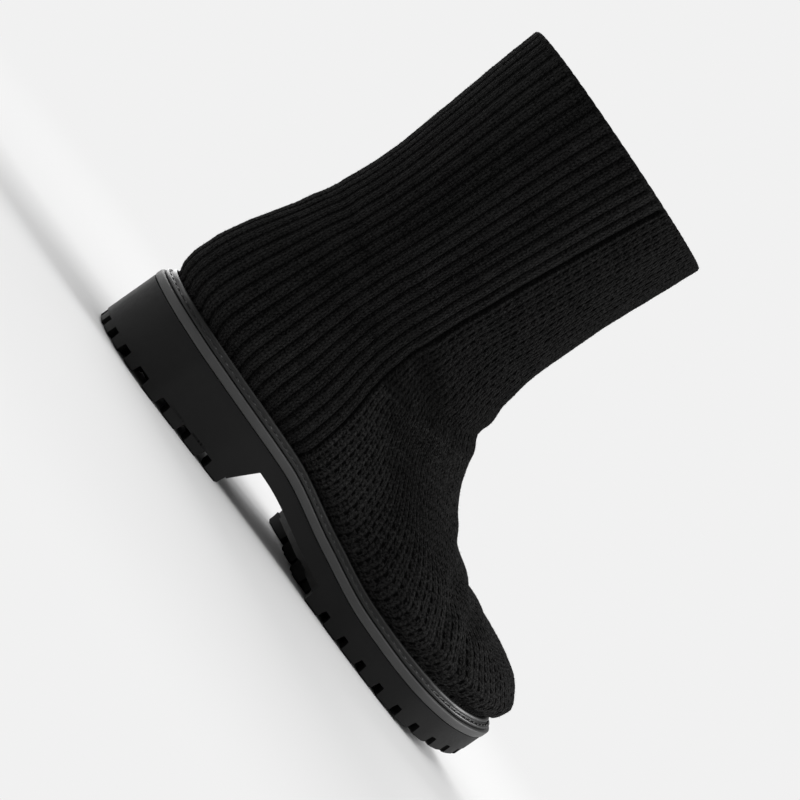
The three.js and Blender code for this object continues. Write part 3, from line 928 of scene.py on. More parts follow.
def map_knit(piece: Piece, across: Array, along: Array, maps: dict[str, Array]) -> None:
    """Writes the knit map and further values for each point on a piece's mesh.

    Args:
        piece: the piece, whose points are a grid.
        across: ribs or columns counted over the grid.
        along: millimetres from the sole edge.
        maps: the values of each further map by its name.
    """
    mesh = piece.data
    used = np.empty(len(mesh.loops), dtype=np.int32)
    mesh.loops.foreach_get("vertex_index", used)
    place = np.stack([across.ravel(), along.ravel()], axis=-1)[used]
    mesh.uv_layers.new(name=KNIT_MAP).data.foreach_set("uv", place.astype(np.float32).ravel())
    for name, values in maps.items():
        attribute = mesh.attributes.new(name, "FLOAT", "POINT")
        attribute.data.foreach_set("value", values.astype(np.float32).ravel())


@dataclass
class KnitUpper:
    """The knitted upper: four fields of relief, the lining behind them and the collar's edge."""

    seam_depth: float = 0.55
    seam_reach: float = 1.6
    # The seam is deeper from the first of these heights to the second
    seam_rise: tuple = (70, 110)
    joint_depth: float = 0.16
    joint_reach: float = 1.8
    tuck: float = 1.9
    hug: float = 0.75
    proud: float = 0.35
    grain: float = 0.07
    seed: int = 5
    ribs: Ribs = Ribs(34, 0.85, 2.8)
    front: Lattice = Lattice(80, 0.7, 4.6, 0.6)
    # Middle of the mossy patch at the side of the instep in x and z, and its two half widths
    moss: tuple = (118, 84, 27, 21)
    # Columns and rows of each field's grid
    sizes: dict = field(default_factory=lambda: {
        Zone.HEEL: (476, 110), Zone.BACK: (476, 140), Zone.VAMP: (520, 180), Zone.FRONT: (520, 120),
    })
    # The seam between the back and the front fields: ring number and place along the sole
    seam_rows: tuple = ((0, 93), (4, 90.5), (8, 84), (11, 80), (13, 82), (16, 90.5))
    # The line between the foot fields and the shaft fields: share from the back to the front, ring number
    heel_line: tuple = ((0, 11.3), (0.45, 10.6), (1, 8.2))
    vamp_line: tuple = ((0, 8.2), (0.5, 9.9), (1, 10.6))

    def seam_turns(self, rings: Array) -> Array:
        """The turn from the back at which the seam crosses each ring.

        Args:
            rings: ring numbers.

        Returns:
            A turn for each ring.
        """
        # The seam lies between these turns at every ring
        turns = np.linspace(0.8, 2.4, 161)
        grid_turns, grid_rings = np.meshgrid(turns, rings)
        across = LAST.surface(grid_turns, grid_rings)[..., 0]
        places = Curve(*zip(*self.seam_rows))(rings)
        return np.array([np.interp(x, row, turns) for x, row in zip(places, across)])

    @cached_property
    def spread(self) -> dict[bool, tuple[Array, Array, Array]]:
        """For the back and the front half: ring numbers, angles at even lengths, and whole widths."""
        rings = np.linspace(0, LAST.top, 16 * LAST.top + 1)
        edge = self.seam_turns(rings)
        shares = np.linspace(0, 1, 401)
        made = {}
        for is_back in (True, False):
            low, high = (-edge, edge) if is_back else (edge, 2 * math.pi - edge)
            phi = low[:, None] + (high - low)[:, None] * np.linspace(0, 1, 1201)
            points = LAST.surface(phi, np.broadcast_to(rings[:, None], phi.shape))
            walked = np.cumsum(np.linalg.norm(np.diff(points, axis=1), axis=-1), axis=1)
            walked = np.concatenate([np.zeros((len(rings), 1)), walked], axis=1)
            even = [np.interp(shares * w[-1], w, p) for w, p in zip(walked, phi)]
            made[is_back] = (rings, np.array(even), walked[:, -1])
        return made

    def angles(self, is_back: bool, across: Array, v: Array) -> tuple[Array, Array]:
        """The angle and the field's width at a share across and a ring number.

        Args:
            is_back: whether the back or the front half is meant.
            across: shares across it.
            v: ring numbers.

        Returns:
            The angles and the widths, each of the shape of v.
        """
        rings, even, widths = self.spread[is_back]
        row = np.clip(v / (rings[1] - rings[0]), 0, len(rings) - 1.001)
        column = np.clip(across * (even.shape[1] - 1), 0, even.shape[1] - 1.001)
        r, c = row.astype(int), column.astype(int)
        tr, tc = row - r, column - c
        low = even[r, c] * (1 - tc) + even[r, c + 1] * tc
        high = even[r + 1, c] * (1 - tc) + even[r + 1, c + 1] * tc
        return low * (1 - tr) + high * tr, np.interp(v, rings, widths)

    def border(self, zone: Zone, across: Array) -> Array:
        """Ring number of the line between foot and shaft, across the back or the front field.

        Args:
            zone: a field of the half that is meant.
            across: shares across it.

        Returns:
            A ring number for each share.
        """
        if zone.is_back:
            return Curve(*zip(*self.heel_line))(np.abs(2 * across - 1))
        return Curve(*zip(*self.vamp_line))(1 - np.abs(2 * across - 1))

    def field_grid(self, zone: Zone) -> dict[str, Array]:
        """The plain grid of one field.

        Args:
            zone: which field.

        Returns:
            Its shares across, points, normals, lengths along, widths and distances to its edges.
        """
        columns, rows = self.sizes[zone]
        is_back = zone.is_back
        across = np.broadcast_to(np.linspace(0, 1, columns + 1), (rows + 1, columns + 1))
        line = self.border(zone, across[0])
        low, high = (np.zeros_like(line), line) if zone.is_low else (line, np.full_like(line, LAST.top))
        up = np.linspace(0, 1, rows + 1)[:, None]
        start = self.along_to(is_back, across[0], low)
        lengths = self.along_to(is_back, across[0], high) - start
        v = self.ring_at(is_back, across[0], start + up * lengths)
        phi, width = self.angles(is_back, across, v)
        points = LAST.surface(phi, v)
        beside = np.minimum(across, 1 - across) * width
        free, shared = (up, 1 - up) if zone.is_low else (1 - up, up)
        return {
            "across": across, "points": points, "normals": outward(points), "along": start + up * lengths,
            "width": width, "beside": beside, "ends": free * lengths, "joint": shared * lengths,
        }

    @cached_property
    def lengths(self) -> dict[bool, tuple[Array, Array, Array]]:
        """For each half: shares across, ring numbers and lengths from the sole edge up to them."""
        made = {}
        for is_back in (True, False):
            across = np.linspace(0, 1, 161)
            v = np.linspace(0, LAST.top, 12 * LAST.top + 1)
            grid_across, grid_v = np.meshgrid(across, v)
            phi, _ = self.angles(is_back, grid_across, grid_v)
            points = LAST.surface(phi, grid_v)
            steps = np.linalg.norm(np.diff(points, axis=0), axis=-1)
            walked = np.concatenate([np.zeros((1, len(across))), np.cumsum(steps, axis=0)])
            made[is_back] = (across, v, walked)
        return made

    def walked(self, is_back: bool, share: float) -> Array:
        """Length from the sole edge to each ring of the table of lengths, at a share across.

        Args:
            is_back: whether the back or the front half is meant.
            share: the share across it.

        Returns:
            A length for each ring of the table.
        """
        shares, _, lengths = self.lengths[is_back]
        place = share * (len(shares) - 1)
        column = min(int(place), len(shares) - 2)
        part = place - column
        return lengths[:, column] * (1 - part) + lengths[:, column + 1] * part

    def along_to(self, is_back: bool, across: Array, v: Array) -> Array:
        """Length from the sole edge to a ring number at each share across."""
        rings = self.lengths[is_back][1]
        return np.array([np.interp(ring, rings, self.walked(is_back, a)) for a, ring in zip(across, v)])

    def ring_at(self, is_back: bool, across: Array, along: Array) -> Array:
        """Ring numbers at lengths from the sole edge, column by column.

        Args:
            is_back: whether the back or the front half is meant.
            across: the share across of each column.
            along: lengths by row and column.

        Returns:
            Ring numbers of the shape of along.
        """
        rings = self.lengths[is_back][1]
        columns = [np.interp(column, self.walked(is_back, a), rings) for a, column in zip(across, along.T)]
        return np.stack(columns, axis=1)

    def pattern(self, zone: Zone) -> Ribs | Lattice:
        """The relief that a field is knitted in."""
        return self.ribs if zone.is_back else self.front

    def shape(self, zone: Zone, grid: dict[str, Array]) -> Array:
        """A field's relief, drawn in at the seam, at its free edge and where the ribs are joined.

        Args:
            zone: which field.
            grid: its plain grid.

        Returns:
            Millimetres above the groove at each point.
        """
        seam = smoothstep(grid["beside"], 0, self.seam_reach)
        ends = smoothstep(grid["ends"], 0, self.seam_reach * 0.6)
        sewn = 0.3 + 0.7 * smoothstep(grid["points"][..., 2], *self.seam_rise)
        shape = self.pattern(zone).relief(grid) * (0.35 + 0.65 * seam * ends)
        shape = shape - self.seam_depth * sewn * (1 - seam) - 0.15 * (1 - ends)
        if zone.is_back:
            shape = shape - self.joint_depth * np.exp(-((grid["joint"] / self.joint_reach) ** 2))
        return shape

    def build_field(self, zone: Zone) -> Piece:
        """One field with its relief, its folds and its edges tucked in behind it.

        Args:
            zone: which field.

        Returns:
            The field as an open sheet, with the maps for its finish.
        """
        grid = self.field_grid(zone)
        pattern, shape, moss = self.pattern(zone), self.shape(zone, grid), self.mossy(grid["points"])
        base, normals, across, along = (grid[key] for key in ("points", "normals", "across", "along"))
        waver = 0.09 * np.sin(along * 0.31 + across * 37) * np.sin(along * 0.17 - across * 61)
        draw = np.random.default_rng(self.seed).normal(size=along.shape)
        yarn = draw * self.grain * (1 + moss) * smoothstep(grid["joint"], 0, 2)
        folds = sum(fold.lift(base) for fold in FOLDS)
        lift = shape + waver + folds + yarn - pattern.height + self.proud
        if zone.is_low:
            lift = lift + self.hug * (1 - smoothstep(along, 0.5, 5))
        points = base + normals * lift[..., None]
        # At the border both fields are shaded by the plain face, so that no line shows there
        rising, plain = np.gradient(points, axis=0), np.gradient(base, axis=0)
        border = -1 if zone.is_low else 0
        rising[border] = plain[border]
        facing = unit(np.cross(np.gradient(points, axis=1), rising))
        framed = pad_grid(base + normals * (folds - self.tuck)[..., None])
        framed[1:-1, 1:-1] = points
        rows, columns = framed.shape[:2]
        corner = np.zeros((rows - 1, columns - 1), bool)
        corner[[0, 0, -1, -1], [0, -1, 0, -1]] = True
        piece = make_object(zone.value, framed, quads(rows, columns)[~corner.ravel()])
        piece.data.normals_split_custom_set_from_vertices(pad_grid(facing).reshape(-1, 3).tolist())
        # The groove-shade map: the relief as a share of its height, low in the rib grooves and at the seam,
        # where the finish paints shade
        maps = {GROOVE_SHADE_MAP: np.clip(shape / pattern.height, 0, 1), MOSS_MAP: moss}
        maps[WIDE_MAP] = self.front.wide(grid["width"])
        padded = {name: pad_grid(values) for name, values in maps.items()}
        map_knit(piece, pad_grid(across * pattern.count), pad_grid(along), padded)
        return piece

    def mossy(self, points: Array) -> Array:
        """How far the lattice dissolves into moss stitch at each point, from 0 to 1."""
        x, z, wide, high = self.moss
        return np.exp(-(((points[..., 0] - x) / wide) ** 2) - ((points[..., 2] - z) / high) ** 2)

    def build_lining(self) -> Piece:
        """The knit's inner face: a thin closed wall behind the four fields.

        Returns:
            The closed wall.
        """
        columns, rows, ribs = 360, 50, 45
        behind, below, ripple, less = 1.1, 1.2, 0.18, 0.8
        phi, v = np.meshgrid(full_circle(columns), np.linspace(0, LAST.top, rows))
        points = LAST.surface(phi, v)
        normals = outward(points, closed=True)
        folds = sum(fold.lift(points) for fold in FOLDS)[..., None]
        outer = points + normals * (folds - behind)
        depth = LAST.knit_wall + 0.1 - ripple * np.cos(phi * ribs)[..., None]
        inner = points + normals * (folds * less - depth)
        for face in (outer, inner):
            face[-1, :, 2] -= below
        faces = quads(2 * rows, columns, wrap_rows=True, wrap_columns=True)
        return make_object("lining", np.concatenate([outer, inner[::-1]]), faces)

    def build_collar(self) -> Piece:
        """The rounded edge of the collar, ribbed as the fields below it.

        Returns:
            The closed roll, with the maps for its finish.
        """
        columns, sides, slack, front_ribs = 1008, 14, 0.15, 14
        phi = full_circle(columns)
        v = np.full(columns, float(LAST.top))
        points = LAST.surface(phi, v)
        below = LAST.surface(phi, v - 0.2)
        around = np.roll(points, -1, axis=0) - np.roll(points, 1, axis=0)
        normals = unit(np.cross(around, points - below))
        seam = float(self.seam_turns(v[:1])[0])
        wrapped = wrap(phi)
        at_back = (wrapped / seam + 1) / 2 * self.ribs.count
        place = np.where(np.abs(wrapped) < seam, at_back, phi * front_ribs)
        rib = 0.45 * (1 - np.abs(2 * (place % 1) - 1) ** 4)
        radius = LAST.knit_wall / 2 - slack + rib / 2
        rows = []
        for turn in full_circle(sides):
            row = points + normals * (slack - LAST.knit_wall / 2 + math.cos(turn) * radius)[:, None]
            row[:, 2] += math.sin(turn) * radius * 1.1 - LAST.knit_wall / 2
            rows.append(row)
        faces = quads(sides, columns, wrap_rows=True, wrap_columns=True)
        piece = make_object("collar_edge", np.array(rows), faces)
        spread = lambda values: np.broadcast_to(values, (sides, columns))
        along = spread(np.arange(sides)[:, None] * 0.6)
        # Painted shade: the groove-shade map is lower between the collar's ribs, so the finish darkens there
        map_knit(piece, spread(place), along, {GROOVE_SHADE_MAP: spread(0.35 + rib)})
        return piece

    def build(self) -> None:
        """Builds and dresses every piece of the upper."""
        lattice = {"loop_height": 0.8, "contrast": 0.4, "slant": 0.8, "period": self.front.period}
        finishes = {
            Zone.HEEL: Wool("wool_heel_ribs", 4, 2.3),
            Zone.BACK: Wool("wool_shaft_ribs", 4, 2.5),
            # The two lattice copies differ in their light colour: the vamp's lighter as painted light, the
            # shaft front's darker as painted shade
            Zone.VAMP: Wool("wool_lattice", 2, 2.2, light=0.045, **lattice),
            Zone.FRONT: Wool("wool_lattice_shaft", 1, 2.2, light=0.027, **lattice),
        }
        made = {zone: finish.material() for zone, finish in finishes.items()}
        for zone, finish in made.items():
            dress(self.build_field(zone), finish, "wool_knit", "upper")
        lining = Felt("wool_lining", 0.001, 0.006, 0.9).material()
        dress(self.build_lining(), lining, "wool_knit", "upper")
        dress(self.build_collar(), made[Zone.BACK], "wool_knit", "upper")


def instances(tree: bpy.types.NodeTree, source: Piece, name: str, sizes: dict) -> Piece:
    """Runs a tree of geometry nodes on a source and keeps the result as a plain mesh.

    Args:
        tree: the tree, whose inputs have names.
        source: the object it works on, which is removed.
        name: the name of the result.
        sizes: a value for each named input.

    Returns:
        The new object.
    """
    modifier = source.modifiers.new(name, "NODES")
    modifier.node_group = tree
    for item in tree.interface.items_tree:
        if item.in_out == "INPUT" and item.name in sizes:
            modifier[item.identifier] = sizes[item.name]
    source.update_tag()
    graph = bpy.context.evaluated_depsgraph_get()
    mesh = bpy.data.meshes.new_from_object(source.evaluated_get(graph))
    mesh.name = name
    source.modifiers.remove(modifier)
    bpy.data.objects.remove(source)
    return show(name, mesh)


@dataclass
class WeltRing:
    """The welt: a flange with its row of stitches and a glossy bead against the upper."""

    flange_start: float = 0.26
    bead_start: float = 0.58
    flange_up: float = 0.4
    stitch_out: float = 0.44
    stitch_pitch: float = 4.3
    stitch_length: float = 2.5
    stitch_width: float = 1.1
    stitch_height: float = 0.9
    columns: int = 480

    def ring(self, out: float, up: float, phi: Array) -> Array:
        """A ring at a share of the width from the outer edge and a share of the height."""
        flat = LAST.outline_inset(phi, lambda x: LAST.welt_at(x) * out)
        return np.column_stack([flat, LAST.seat(flat[:, 0]) + LAST.gap + LAST.welt_height * up])

    def build_ring(self) -> Piece:
        """Flange and bead as one closed ring.

        Returns:
            The closed ring.
        """
        phi = wrap(full_circle(self.columns))
        start, bead, up = self.flange_start, self.bead_start, self.flange_up
        section = [(start, 0), (start, 0.16), (start + 0.012, 0.3), (start + 0.045, 0.38)]
        section += [(0.36, up), (bead - 0.03, up)]
        middle, half = (bead + 1) / 2, (1 - bead) / 2
        for turn in np.linspace(math.pi * 1.06, -0.05, 13):
            section.append((middle + half * math.cos(turn), 0.56 + 0.44 * math.sin(turn)))
        section.append((1, 0))
        rows = np.array([self.ring(out, height, phi) for out, height in section])
        return make_object("storm_welt_ring", rows, quads(len(rows), self.columns, True, True))

    def stitch_tree(self) -> bpy.types.NodeTree:
        """Geometry nodes that lay one raised stitch after another along a path.

        Returns:
            The tree, with the stitch's sizes as inputs.
        """
        bench, given = Bench.for_geometry("welt_stitches", {
            "Path": "Geometry", "Pitch": "Float", "Stitch length": "Float", "Stitch width": "Float",
            "Stitch height": "Float", "Finish": "Material",
        })
        path = bench.wire("GeometryNodeMeshToCurve", {"Mesh": given["Path"]})
        steps = {"Curve": path, "Length": given["Pitch"]}
        evened = bench.wire("GeometryNodeResampleCurve", steps, mode="LENGTH")
        size = bench.wire("ShaderNodeCombineXYZ", {
            0: given["Stitch length"], 1: given["Stitch width"], 2: given["Stitch height"],
        })
        ball = bench.wire("GeometryNodeMeshUVSphere", {"Segments": 10, "Rings": 7, "Radius": 0.5})
        stitch = bench.wire("GeometryNodeTransform", {"Geometry": ball, "Scale": size})
        tangent = bench.wire("GeometryNodeInputTangent")
        turn = bench.wire("FunctionNodeAlignRotationToVector", {"Vector": tangent}, axis="X")
        bench.lay(given["Finish"], True, {"Points": evened, "Instance": stitch, "Rotation": turn})
        return bench.tree

    def build_stitches(self, finish: Material) -> Piece:
        """The row of stitches on the flange.

        Args:
            finish: the thread.

        Returns:
            All stitches as one mesh.
        """
        count, clear = 900, 0.02
        path = self.ring(self.stitch_out, self.flange_up + clear, full_circle(count) - math.pi)
        mesh = bpy.data.meshes.new("stitch_path")
        mesh.from_pydata(into_frame(path).tolist(), [(i, (i + 1) % count) for i in range(count)], [])
        sizes = {
            "Pitch": self.stitch_pitch * METRES, "Stitch length": self.stitch_length * METRES,
            "Stitch width": self.stitch_width * METRES, "Stitch height": self.stitch_height * METRES,
            "Finish": finish,
        }
        return instances(self.stitch_tree(), show("stitch_path", mesh), "welt_stitches", sizes)

    def build(self) -> None:
        """Builds and dresses the welt."""
        gloss = Rubber("welt_gloss", 0.004, 0.006, 0.4, 0.5, 0.008, 0.4, coat=0.16, coat_roughness=0.2)
        thread = Rubber("welt_thread", 0.005, 0.01, 0.4, 0.25, 0.04, 0.4, coat=0.15).material()
        dress(self.build_ring(), gloss.material(), "welt_rubber", "storm_welt")
        dress(self.build_stitches(thread), thread, "welt_rubber")


@dataclass
class Sole:
    """Band, insole, arch insert and the moulded outsole with its lugs."""

    lug_depth: float = 5
    lug_width: float = 9.2
    notch_width: float = 4.4
    lug_reach: float = 13
    fin_width: float = 9.6
    fin_root: float = 2.4
    fin_count: int = 7
    fin_spread: float = 1.26
    heel_lug_pitch: float = 15
    star_pitch: float = 15.5
    star_radius: float = 6.8
    bevel: float = 0.9
    flare: float = 0.55
    hair: float = 0.06
    breast_lean: float = 7
    tread_skew: float = 8
    arch_wall: float = 8
    insert_start: float = 0.342
    insert_end: float = 0.515
    insert_thickness: float = 1.6
    insert_dish: float = 1.1
    insole_thickness: float = 3
    star_steps: int = 7
    columns: int = 480

    @property
    def pocket(self) -> tuple[float, float]:
        """Where the insert's pocket starts and ends along the sole."""
        return self.insert_start * LAST.length - LAST.gap, self.insert_end * LAST.length + LAST.gap

    def arch_z(self, x: Array) -> Array:
        """Height of the arch's underside."""
        return LAST.wall_top(x) - self.arch_wall

    def plate(self, name: str, rows: list[tuple[float | Field, Field]]) -> Piece:
        """A plate whose side goes through rings, each an inset and a height over the length.

        Args:
            name: the piece's name.
            rows: for each ring its inset from the outline and its height.

        Returns:
            The closed plate.
        """
        phi = wrap(full_circle(self.columns))
        rings = []
        for inset, height in rows:
            flat = LAST.outline_inset(phi, inset)
            rings.append(np.column_stack([flat, height(flat[:, 0])]))
        faces = quads(len(rings), self.columns, wrap_columns=True).tolist()
        faces += ring_caps(self.columns, 0, upward=False)
        faces += ring_caps(self.columns, (len(rings) - 1) * self.columns, upward=True)
        piece = make_object(name, np.array(rings), faces)
        piece.data.set_sharp_from_angle(angle=math.radians(50))
        return piece

    def build_band(self) -> Piece:
        """The grey band, with its corners rounded.

        Returns:
            The closed band.
        """
        edge = ((0.7, 0), (0.3, 0.03), (0.08, 0.1), (0, 0.22), (0, 0.8), (0.1, 0.92), (0.35, 0.985), (0.8, 1))
        height = lambda x, up: LAST.wall_top(x) + LAST.gap + LAST.band_thickness * up
        return self.plate("grey_band", [(inset, lambda x, up=up: height(x, up)) for inset, up in edge])

    def build_insole(self) -> Piece:
        """The insole, softly rounded at its edge.

        Returns:
            The closed insole.
        """
        edge = ((0.3, 0), (0, 0.15), (0, 0.75), (0.5, 0.95), (1.6, 1))
        inset = lambda x, more: LAST.welt_at(x) + LAST.knit_wall + 3 * LAST.gap + more
        height = lambda x, up: LAST.seat(x) + LAST.gap + self.insole_thickness * up
        rows = [(lambda x, more=more: inset(x, more), lambda x, up=up: height(x, up)) for more, up in edge]
        return self.plate("insole_felt", rows)

    def insert_half(self, x: Array, side: Array) -> Array:
        """Half width of the insert on the side that side points to."""
        turn = turn_of(x / LAST.length)
        return np.where(side < 0, LAST.inner_half(turn), LAST.outer_half(turn)) - self.arch_wall

    def build_insert(self) -> Piece:
        """The dished insert, closed, with an eased edge all round.

        Returns:
            The closed plate.
        """
        rows, columns, easing, ease_depth, taper = 64, 33, 0.9, 0.4, 30
        x = np.linspace(self.insert_start, self.insert_end, rows) * LAST.length
        grid_x, side = np.meshgrid(x, np.linspace(-1, 1, columns), indexing="ij")
        y = side * self.insert_half(grid_x, side)
        dished = self.arch_z(grid_x) + self.insert_dish * (1 - side**2)
        rim = np.minimum((1 - np.abs(side)) * taper, np.minimum(grid_x - x[0], x[-1] - grid_x))
        lower = np.stack([grid_x, y, dished + ease_depth * (1 - smoothstep(rim, 0, easing))], axis=-1)
        upper = np.stack([grid_x, y, dished + self.insert_thickness], axis=-1)
        number = np.arange(rows * columns).reshape(rows, columns)
        ring = [*number[:, 0], *number[-1, 1:], *number[-2::-1, -1], *number[0, -2:0:-1]]
        ring = [int(point) for point in ring]
        count, faces = rows * columns, quads(rows, columns)
        sides = [[a + count, b + count, b, a] for a, b in zip(ring, ring[1:] + ring[:1])]
        made = (faces + count)[:, ::-1].tolist() + faces.tolist() + sides
        piece = make_object("arch_insert_plate", np.stack([lower, upper]), made)
        self.face_out(piece)
        piece.data.set_sharp_from_angle(angle=math.radians(40))
        return piece

    def face_out(self, piece: Piece) -> None:
        """Turns the faces of a closed mesh outwards.

        Args:
            piece: the closed mesh.
        """
        work = bmesh.new()
        work.from_mesh(piece.data)
        bmesh.ops.remove_doubles(work, verts=work.verts, dist=1e-6)
        bmesh.ops.recalc_face_normals(work, faces=work.faces)
        work.to_mesh(piece.data)
        work.free()

    @cached_property
    def stations(self) -> tuple[Array, Array]:
        """Turns of the cross lines on the inner and the outer side, from the back to the front."""
        small = 0.15
        base = np.linspace(0.02, math.pi - 0.02, 200)
        made = []
        for side in (1, -1):
            marks = [LAST.breast - small, LAST.breast]
            marks += [LAST.breast + self.breast_lean + k * small for k in (0, 1)]
            marks += [end + k * small for end in self.pocket for k in (-1, 1)]
            marks += [LAST.tread + side * self.tread_skew / 2 + k * small for k in (-2, -1, 1, 2)]
            turns = turn_of(np.array(marks) / LAST.length)
            made.append(np.sort(np.concatenate([base, turns])))
        return made[0], made[1]

    def floor_z(self, x: Array, y: Array) -> Array:
        """Height of the outsole's underside between the lugs.

        Args:
            x: places along the sole.
            y: places across it.

        Returns:
            A height for each point.
        """
        end = LAST.tread - y / LAST.ball_width * self.tread_skew
        recess = LAST.tread_z(x) + self.lug_depth
        lean = np.clip((x - LAST.breast) / self.breast_lean, 0, 1)
        arch = np.where(x > end, 0, lean)
        return recess + (self.arch_z(x) - recess) * arch

    def build_core(self) -> Piece:
        """The moulded body above the lugs, with the arch and the pocket for the insert.

        Returns:
            The closed body.
        """
        step, edge = 0.15, 0.5
        inner, outer = self.stations
        xi, xo = share_of(inner) * LAST.length, share_of(outer) * LAST.length
        half_i = LAST.inner_half(inner) - LAST.band_overhang
        half_o = LAST.outer_half(outer) - LAST.band_overhang
        room = LAST.band_overhang + LAST.gap - self.arch_wall
        pocket_i, pocket_o = (np.maximum(half + room, half * 0.4) for half in (half_i, half_o))
        ys = [-half_i, -half_i + edge, -pocket_i - step, -pocket_i + step, np.zeros_like(half_i)]
        ys += [pocket_o - step, pocket_o + step, half_o - edge, half_o]
        weights = [(y + half_i) / (half_i + half_o) for y in ys]
        xs = [xi + (xo - xi) * w for w in weights]
        points = np.stack([np.stack([x, y, self.floor_z(x, y)], axis=-1) for x, y in zip(xs, ys)], axis=1)
        middle = xs[4]
        start, end = self.pocket
        inside = (middle > start) & (middle < end)
        points[inside, 3:6, 2] += self.insert_dish + self.insert_thickness + LAST.gap
        tops = ((xo, half_o), (middle, 0 * middle), (xi, -half_i))
        top = np.stack([np.column_stack([x, y, LAST.wall_top(x)]) for x, y in tops], axis=1)
        section = np.concatenate([points, top], axis=1)
        rows, columns = section.shape[:2]
        faces = quads(rows, columns, wrap_columns=True)
        ends = [list(range(columns)), list(range((rows - 1) * columns, rows * columns))[::-1]]
        piece = make_object("outsole_core", section, faces.tolist() + ends)
        self.face_out(piece)
        piece.data.set_sharp_from_angle(angle=math.radians(30))
        return piece

    @cached_property
    def wall(self) -> tuple[Array, Array, Array]:
        """The wall's line from the toe round the outer side and back: length walked, points, inward."""
        phi = np.linspace(-math.pi, math.pi, 4001)
        points = LAST.outline_inset(phi, LAST.band_overhang)
        inside = LAST.outline_inset(phi, LAST.band_overhang + 1)
        walked = np.concatenate([[0], np.cumsum(np.linalg.norm(np.diff(points, axis=0), axis=1))])
        return walked, points, unit(inside - points)

    def on_wall(self, walked: Array, inset: Array) -> Array:
        """Points at a length along the wall and a distance in from it.

        Args:
            walked: lengths along the wall, of any turn.
            inset: how far inside it each point lies.

        Returns:
            One row of x and y for each point.
        """
        lengths, points, inward = self.wall
        at = np.asarray(walked, float) % lengths[-1]
        pick = lambda data: np.stack([np.interp(at, lengths, data[:, k]) for k in (0, 1)], axis=-1)
        return pick(points) + pick(inward) * np.asarray(inset, float)[..., None]

    def walked_at(self, x: float, outer_side: bool) -> float:
        """The length along the wall at a place along the sole.

        Args:
            x: the place along the sole.
            outer_side: whether the outer or the inner side is meant.

        Returns:
            The length from the toe round the outer side.
        """
        lengths, points, _ = self.wall
        half = len(lengths) // 2
        if outer_side:
            return float(np.interp(-x, -points[: half + 1, 0], lengths[: half + 1]))
        return float(np.interp(x, points[half:, 0], lengths[half:]))

    def lug(self, rings: list[tuple[Array, float]]) -> Block:
        """A closed block from flat outlines.

        Args:
            rings: outlines of as many points each and their height over the tread line.

        Returns:
            The block's points and faces.
        """
        count = len(rings[0][0])
        points = [np.column_stack([flat, LAST.tread_z(flat[:, 0]) + up]) for flat, up in rings]
        faces = quads(len(rings), count, wrap_columns=True).tolist()
        last = (len(rings) - 1) * count
        faces += [list(range(count))[::-1], list(range(last, last + count))]
        return np.concatenate(points), faces

    def edge_lug(self, centre: float) -> Block:
        """A lug flush with the wall, blunt at its inner end, standing on a flared foot.

        Args:
            centre: the length along the wall at the lug's middle.

        Returns:
            The lug's points and faces.
        """
        reach, waist, across = self.lug_reach, 0.55, 7
        levels = (
            (-self.bevel, self.bevel, 0),
            (-0.1, 0, self.bevel),
            (0, 0, 3),
            (self.flare, 0, self.lug_depth + 1),
        )
        rings = []
        for grow, bevel, up in levels:
            half = self.lug_width / 2 + grow
            along = np.concatenate([np.linspace(-half, half, across), half * np.array([1, 0.52, -0.52, -1])])
            inner = [reach * waist, reach + grow, reach + grow, reach * waist]
            rings.append((self.on_wall(centre + along, np.concatenate([np.full(across, bevel), inner])), up))
        return self.lug(rings)

    def star_lug(self, x: float, y: float, lift: float) -> Block:
        """A four-armed lug around a point, lifted a hair where it runs into another.

        Args:
            x: its middle along the sole.
            y: its middle across the sole.
            lift: how far it is lifted.

        Returns:
            The lug's points and faces.
        """
        rings = []
        for grow, up in ((-self.bevel * 0.7, lift), (0, self.bevel + lift), (0.4, self.lug_depth + 1)):
            arm, tip = self.star_radius * 0.42 + grow, self.star_radius + grow
            corners = []
            for turn in full_circle(4) + math.pi / 4:
                out = np.array([math.cos(turn), math.sin(turn)])
                side = np.array([-out[1], out[0]])
                corners += [(x, y) + out * a + side * b for a, b in ((arm, -arm), (tip, -arm), (tip, arm))]
            rings.append((np.array(corners), up))
        return self.lug(rings)

    def fin(self, hub: Array, turn: float, lift: float) -> Block:
        """A fin at the back of the heel, from the hub out to the wall, lifted a hair.

        Args:
            hub: the point that the fins fan out from.
            turn: the way it points.
            lift: how far it is lifted.

        Returns:
            The fin's points and faces.
        """
        lengths, points, _ = self.wall
        out = np.array([math.cos(turn), math.sin(turn)])
        side = np.array([-out[1], out[0]])
        levels = ((-self.bevel * 0.8, self.bevel, lift), (-0.1, 0, self.bevel + lift))
        rings = []
        for grow, bevel, up in (*levels, (0.35, 0, self.lug_depth + 1)):
            roots, marks = [], []
            for way in (-1, 1):
                root = hub + out * self.fin_root * 2 + side * way * (self.fin_root / 2 + grow * 0.6)
                far = hub + out * LAST.ball_width / 2 + side * way * (self.fin_width / 2 + grow)
                line = unit(far - root)
                off = (points - root) @ np.array([-line[1], line[0]])
                ahead = (points - root) @ line > 0
                marks.append(lengths[np.where((off[:-1] * off[1:] <= 0) & ahead[:-1])[0][0]])
                roots.append([root])
            edge = self.on_wall(np.linspace(*marks, 6), np.full(6, bevel))
            rings.append((np.concatenate([roots[0], edge, roots[1]]), up))
        return self.lug(rings)

